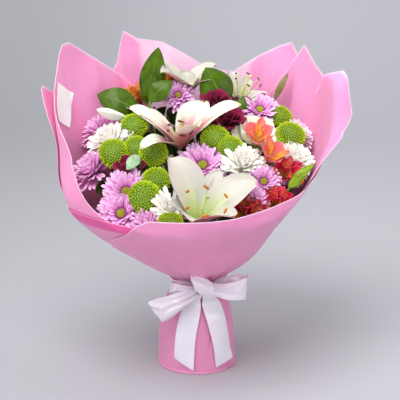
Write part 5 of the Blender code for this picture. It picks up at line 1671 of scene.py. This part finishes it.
def star_material(name, body, tip):
    """An alstroemeria's petals. The inner ones are warm at their roots, with dark dashes."""
    tree, shader, outer = petal_material(name, STAR_ROOT, body, tip, *STAR_FORM)
    u, v, k = split_mark(tree, "petal")
    dash = ramp(tree, noise(tree, stretched(tree, (v, 8.0), (u, 6.0)), 1.0, 1.0), 0.58, 0.66)
    warm = mix(tree, ramp(tree, u, 0.45, 0.95), (0.90, 0.42, 0.03, 1), rgba(body))
    warm = mix(tree, times(tree, dash, 0.85), warm, (0.20, 0.01, 0.01, 1))
    tree.links.new(mix(tree, ramp(tree, k, 0.4, 0.6), outer, warm), shader.inputs["Base Color"])


def lily_material(name, body, throat, tip, *marked):
    """Waxy lily petal. Rib, zone, spots and back are each a tone and its share."""
    tree, shader = begin_material(name, Roughness=0.42, Subsurface_Weight=0.25,
                                  Subsurface_Scale=0.006, Sheen_Weight=0.1,
                                  Specular_IOR_Level=0.35)
    tones = group_node(tree, "petal_tones", {
        "Root": rgba(throat), "Body": rgba(body or colours().lily), "Tip": rgba(tip),
        "Root Reach": 0.40, "Tip Start": 0.90, "Streaks": 0.10, "Count": 7.0, "Variation": 0.06})
    made = group_node(tree, "lily_marks", {"Spot Scale": 15.0})
    colour = tones["Color"]
    for mask, (tone, share) in zip(("Rib", "Zone", "Spots", "Back"), marked):
        colour = mix(tree, times(tree, made[mask], share), colour, rgba(tone))
    veins = ramp(tree, made["Veins"], 0.42, 0.62)
    colour = mix(tree, times(tree, veins, 0.08), colour, rgba(throat))
    height = plus(tree, times(tree, veins, 0.5), made["Spots"])
    finish_look(tree, shader, colour, height, 0.0006)


def leaf_material(name, tone, rib, veins, rough):
    tree, shader = begin_material(name, Roughness=rough, Subsurface_Weight=0.05,
                                  Subsurface_Scale=0.003, Specular_IOR_Level=0.16,
                                  Coat_Weight=0.05, Coat_Roughness=0.15)
    tone = tone or colours().leaf
    made = group_node(tree, "leaf_veins")
    base = mix(tree, ramp(tree, made["Patches"], 0.3, 0.7), rgba(tone, 0.7), rgba(tone, 1.4))
    base = mix(tree, times(tree, made["Veins"], veins), base, rgba(rib))
    base = mix(tree, times(tree, made["Rib"], 0.55), base, rgba(rib))
    height = times(tree, plus(tree, made["Veins"], made["Rib"]), -1.0)
    finish_look(tree, shader, base, height, 0.0005, 0.4)


def grained_material(name, tone, scale, rough, depth, contrast):
    """A small piece's own tone, mottled, with a fine grain."""
    tree, shader = begin_material(name, Roughness=rough)
    made = group_node(tree, "paper_fibre", {"Scale": scale, "Crease": scale * 0.12})
    colour = mix(tree, made["Tone"], rgba(tone, 1 - contrast), rgba(tone, 1 + contrast))
    finish_look(tree, shader, colour, made["Height"], depth)


def paper_material(tone, inside):
    """Wrapping paper: paler to the top as painted light shining through it, a deeper pink as
    painted shade where its painted mark is above 0, and a pale pink as painted light where it's
    below.
    """
    tree, shader = begin_material("paper", Roughness=0.5, Subsurface_Weight=0.5,
                                  Subsurface_Scale=0.006, Subsurface_Radius=(1.0, 0.6, 0.8),
                                  Sheen_Weight=0.15, Specular_IOR_Level=0.3)
    made = group_node(tree, "paper_fibre")
    _, height, painted_shade_light = split_mark(tree, "paper")
    base = mix(tree, ramp(tree, made["Tone"], 0.3, 0.7), rgba(tone, 0.96), rgba(tone, 1.03))
    # Painted light: paler towards the top, where light shines through the paper
    base = mix(tree, times(tree, ramp(tree, height, 0.24, 0.40), 0.45), base, rgba(tone, 1.12))
    # Painted shade: a deeper pink where the painted mark is above 0, on the left fold's rolled rim
    base = mix(tree, ramp(tree, painted_shade_light, 0.0, 1.0), base, rgba(inside))
    # Painted light: a pale pink where the mark is below 0, as a highlight along the rims and as
    # light shining through the back sheet
    rim = ramp(tree, times(tree, painted_shade_light, -1.0), 0.3, 1.0)
    base = mix(tree, times(tree, rim, 0.7), base, PAINTED_LIGHT_TONE)
    finish_look(tree, shader, base, made["Height"], 0.0003, 0.5)


def satin_material(tone):
    tree, shader = begin_material("satin", Roughness=0.25, Sheen_Weight=0.2, Anisotropic=0.4,
                                  Specular_IOR_Level=0.9, Coat_Weight=0.35, Coat_Roughness=0.16,
                                  Subsurface_Weight=0.2, Subsurface_Scale=0.004)
    made = group_node(tree, "satin_threads")
    # Painted sheen: slow lighter and darker bands in the satin's colour
    base = mix(tree, made["Tone"], rgba(tone, 0.94), rgba(tone, 1.05))
    finish_look(tree, shader, base, made["Height"], 0.00005, 0.5)


def sweep_material():
    """The floor's grey, faintly mottled: darker to the left as painted shade, and warmer and
    lighter in front as painted light reflected from the pink paper.
    """
    tree, shader = begin_material("studio_sweep", Roughness=0.7, Specular_IOR_Level=0.25)
    place = put(tree, "ShaderNodeTexCoord").outputs["Object"]
    parts = put(tree, "ShaderNodeSeparateXYZ", {0: place}).outputs
    mottle = noise(tree, place, 3.0, 2.0)
    # Painted shade: the left side of the floor is darker than the right
    left = mix(tree, mottle, (0.350, 0.353, 0.378, 1), (0.364, 0.366, 0.390, 1))
    right = mix(tree, mottle, (0.432, 0.436, 0.466, 1), (0.446, 0.449, 0.478, 1))
    back = mix(tree, ramp(tree, parts["X"], -0.55, 0.25), left, right)
    # Painted reflection: a warmer, lighter grey in front, as pink light reflected from the paper
    front = mix(tree, ramp(tree, parts["Y"], -0.5, -0.1), (0.470, 0.450, 0.475, 1), back)
    finish_look(tree, shader, front)


def make_materials():
    for make in (make_petal_group, make_lily_group, make_paper_group, make_satin_group,
                 make_leaf_group):
        make()
    paper_material(colours().paper, colours().paper_inside)
    satin_material(colours().satin)
    for make, looks in ((petal_material, PETAL_LOOKS), (star_material, STAR_LOOKS),
                        (lily_material, LILY_LOOKS), (leaf_material, LEAF_TONES),
                        (grained_material, GRAINED_LOOKS)):
        for name, look in looks.items():
            make(name, *look)
    sweep_material()


# Operators

class BouquetOperator:
    bl_options = {"REGISTER", "UNDO"}


class BOUQUET_OT_materials(BouquetOperator, bpy.types.Operator):
    """Make the finishes of paper, satin, petals and leaves"""
    bl_idname = "bouquet.materials"
    bl_label = "Make Finishes"

    def execute(self, context):
        make_materials()
        return {"FINISHED"}


class BOUQUET_OT_stage(BouquetOperator, bpy.types.Operator):
    """Add the floor with its sweep, the soft lights and the camera"""
    bl_idname = "bouquet.stage"
    bl_label = "Add Stage"

    def execute(self, context):
        add_stage()
        return {"FINISHED"}


class BOUQUET_OT_wrap(BouquetOperator, bpy.types.Operator):
    """Add the six sheets of wrapping paper and the blank label"""
    bl_idname = "bouquet.wrap"
    bl_label = "Add Paper Sheets"

    def execute(self, context):
        for name in SHEETS:
            add_sheet(name)
        add_label()
        return {"FINISHED"}


class BOUQUET_OT_foot(BouquetOperator, bpy.types.Operator):
    """Add the gathered paper foot"""
    bl_idname = "bouquet.foot"
    bl_label = "Add Paper Foot"

    def execute(self, context):
        add_foot()
        return {"FINISHED"}


class BOUQUET_OT_ribbon(BouquetOperator, bpy.types.Operator):
    """Add the satin band round the neck and the bow with its tails"""
    bl_idname = "bouquet.ribbon"
    bl_label = "Add Satin Ribbon"

    def execute(self, context):
        band = add_band()
        bow, run = add_bow()
        return {"FINISHED"}


class BOUQUET_OT_leaves(BouquetOperator, bpy.types.Operator):
    """Add the leaves that stand above the blooms, and the foliage below them"""
    bl_idname = "bouquet.leaves"
    bl_label = "Add Leaves"

    def execute(self, context):
        for node, blades in LEAVES.items():
            add_leaf(node, blades)
        add_undergrowth()
        return {"FINISHED"}


class BOUQUET_OT_lilies(BouquetOperator, bpy.types.Operator):
    """Add the lilies with their stamens, and the lily bud"""
    bl_idname = "bouquet.lilies"
    bl_label = "Add Lilies"

    def execute(self, context):
        for head in [h for h in HEADS if h.kind in OVERLYING]:
            slot, look = "lily", "lily_pink" if head.node == "lily_middle" else "lily_pale"
            if head.kind == "bud":
                slot = look = "bud"
            OVERLAYS.append(add_heads(head.node, slot, look, "filament", "anther_dark", "stalk"))
            if head.node in STAMENS:
                add_stamens(head)
        return {"FINISHED"}


# The looks of each kind's heads, by the first word of their node's name
KIND_LOOKS = {
    "mum": {"lilac": ("lilac", "core_lilac", "eye_green", "stalk"),
            "white": ("white", "core_pale", "eye_green", "stalk"),
            "blush": ("blush", "core_pale", "eye_green", "stalk")},
    "button": {"green": ("green", "core_lime", "stalk")},
    "astro": {"coral": ("coral", "filament", "anther", "stalk"),
              "red": ("red", "filament", "anther", "stalk"),
              "crimson": ("crimson_star", "filament", "anther", "stalk"),
              "gold": ("gold", "filament", "anther", "stalk")},
    "carnation": {"crimson": ("crimson", "stalk")},
    "rose": {"cream": ("cream", "stalk")},
}


def add_kind(kind):
    """Every node of one kind, each with the looks of its tone."""
    for node in dict.fromkeys(head.node for head in HEADS if head.kind == kind):
        tone = node.split("_")[0]
        add_heads(node, tone, *KIND_LOOKS[kind][tone])


class BOUQUET_OT_chrysanthemums(BouquetOperator, bpy.types.Operator):
    """Add the lilac, blush and white spray chrysanthemums"""
    bl_idname = "bouquet.chrysanthemums"
    bl_label = "Add Chrysanthemums"

    def execute(self, context):
        add_kind("mum")
        return {"FINISHED"}


class BOUQUET_OT_buttons(BouquetOperator, bpy.types.Operator):
    """Add the green button chrysanthemums"""
    bl_idname = "bouquet.buttons"
    bl_label = "Add Button Chrysanthemums"

    def execute(self, context):
        add_kind("button")
        return {"FINISHED"}


class BOUQUET_OT_alstroemerias(BouquetOperator, bpy.types.Operator):
    """Add the coral, red, crimson and gold alstroemerias"""
    bl_idname = "bouquet.alstroemerias"
    bl_label = "Add Alstroemerias"

    def execute(self, context):
        add_kind("astro")
        return {"FINISHED"}


class BOUQUET_OT_carnations(BouquetOperator, bpy.types.Operator):
    """Add the crimson carnations and the cream rose"""
    bl_idname = "bouquet.carnations"
    bl_label = "Add Carnations and Rose"

    def execute(self, context):
        add_kind("carnation")
        add_kind("rose")
        return {"FINISHED"}


class BOUQUET_OT_stems(BouquetOperator, bpy.types.Operator):
    """Finish the stems and the string that ties them"""
    bl_idname = "bouquet.stems"
    bl_label = "Finish Stems and String"

    def execute(self, context):
        for node, look in (("stem_bundle", "stem"), ("binding_string", "string")):
            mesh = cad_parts[node].data
            mesh.materials.clear()
            mesh.materials.append(MATERIALS[look])
        return {"FINISHED"}


class BOUQUET_PT_panel(bpy.types.Panel):
    """Lists the steps that dress the bouquet"""
    bl_idname = "BOUQUET_PT_panel"
    bl_label = "Bouquet"
    bl_space_type = "VIEW_3D"
    bl_region_type = "UI"
    bl_category = "Bouquet"

    def draw(self, context):
        for group in (context.scene.bouquet_sizes, context.scene.bouquet_colours):
            for name in group.__annotations__:
                self.layout.prop(group, name)
        for step in STEPS:
            self.layout.operator(step.bl_idname)


STEPS = (BOUQUET_OT_materials, BOUQUET_OT_stage, BOUQUET_OT_wrap, BOUQUET_OT_foot,
         BOUQUET_OT_ribbon, BOUQUET_OT_leaves, BOUQUET_OT_lilies, BOUQUET_OT_chrysanthemums,
         BOUQUET_OT_buttons, BOUQUET_OT_alstroemerias, BOUQUET_OT_carnations, BOUQUET_OT_stems)
CLASSES = (BouquetSizes, BouquetColours) + STEPS + (BOUQUET_PT_panel,)


def aim(obj, place, target):
    obj.rotation_euler = (Vector(target) - Vector(place)).to_track_quat("-Z", "Y").to_euler()


def add_light(name, place, target, size, energy):
    bpy.ops.object.light_add(type="AREA", location=place)
    light = bpy.context.active_object
    light.name = name
    light.data.shape = "DISK"
    light.data.size = size
    light.data.energy = energy
    aim(light, place, target)


def add_stage():
    """A floor that sweeps up behind, soft lights and the camera."""
    columns, rows = SWEEP_GRID
    sweep, column, row = add_grid("studio_sweep", columns, rows)
    run = SWEEP_LENGTH * row / rows - SWEEP_FRONT
    past = run - SWEEP_START
    turn = np.clip(past / SWEEP_BEND, 0, math.pi / 2)
    y = np.where(past < 0, run, SWEEP_START + SWEEP_BEND * np.sin(turn))
    z = SWEEP_BEND * (1 - np.cos(turn)) + np.maximum(past - SWEEP_BEND * math.pi / 2, 0)
    set_coordinates(sweep, np.stack([SWEEP_HALF * (2 * column / columns - 1), y, z], -1))
    soften(sweep, 60)
    sweep.data.materials.append(MATERIALS["studio_sweep"])
    for name, light in LIGHTS.items():
        add_light(name, *light)
    world = bpy.data.worlds.new("studio")
    world.use_nodes = True
    background = world.node_tree.nodes["Background"].inputs
    background["Color"].default_value = WORLD_TONE
    background["Strength"].default_value = WORLD_STRENGTH
    bpy.context.scene.world = world
    bpy.context.scene.view_settings.view_transform = "Standard"
    rise = math.radians(CAMERA_ELEVATION)
    place = Vector(CAMERA_TARGET) + CAMERA_DISTANCE * Vector((0, -math.cos(rise), math.sin(rise)))
    bpy.ops.object.camera_add(location=place)
    camera = bpy.context.active_object
    aim(camera, place, CAMERA_TARGET)
    camera.data.lens = CAMERA_LENS
    camera.data.sensor_width = CAMERA_SENSOR
    camera.data.shift_x, camera.data.shift_y = CAMERA_SHIFT
    bpy.context.scene.camera = camera


def register():
    for each in CLASSES:
        bpy.utils.register_class(each)
    bpy.types.Scene.bouquet_sizes = bpy.props.PointerProperty(type=BouquetSizes)
    bpy.types.Scene.bouquet_colours = bpy.props.PointerProperty(type=BouquetColours)


def unregister():
    del bpy.types.Scene.bouquet_sizes
    del bpy.types.Scene.bouquet_colours
    for each in reversed(CLASSES):
        bpy.utils.unregister_class(each)


def main():
    register()
    bpy.ops.bouquet.materials()
    bpy.ops.bouquet.stage()
    bpy.ops.bouquet.wrap()
    bpy.ops.bouquet.foot()
    bpy.ops.bouquet.ribbon()
    bpy.ops.bouquet.leaves()
    bpy.ops.bouquet.lilies()
    bpy.ops.bouquet.chrysanthemums()
    bpy.ops.bouquet.buttons()
    bpy.ops.bouquet.alstroemerias()
    bpy.ops.bouquet.carnations()
    bpy.ops.bouquet.stems()


if __name__ == "__main__":
    main()
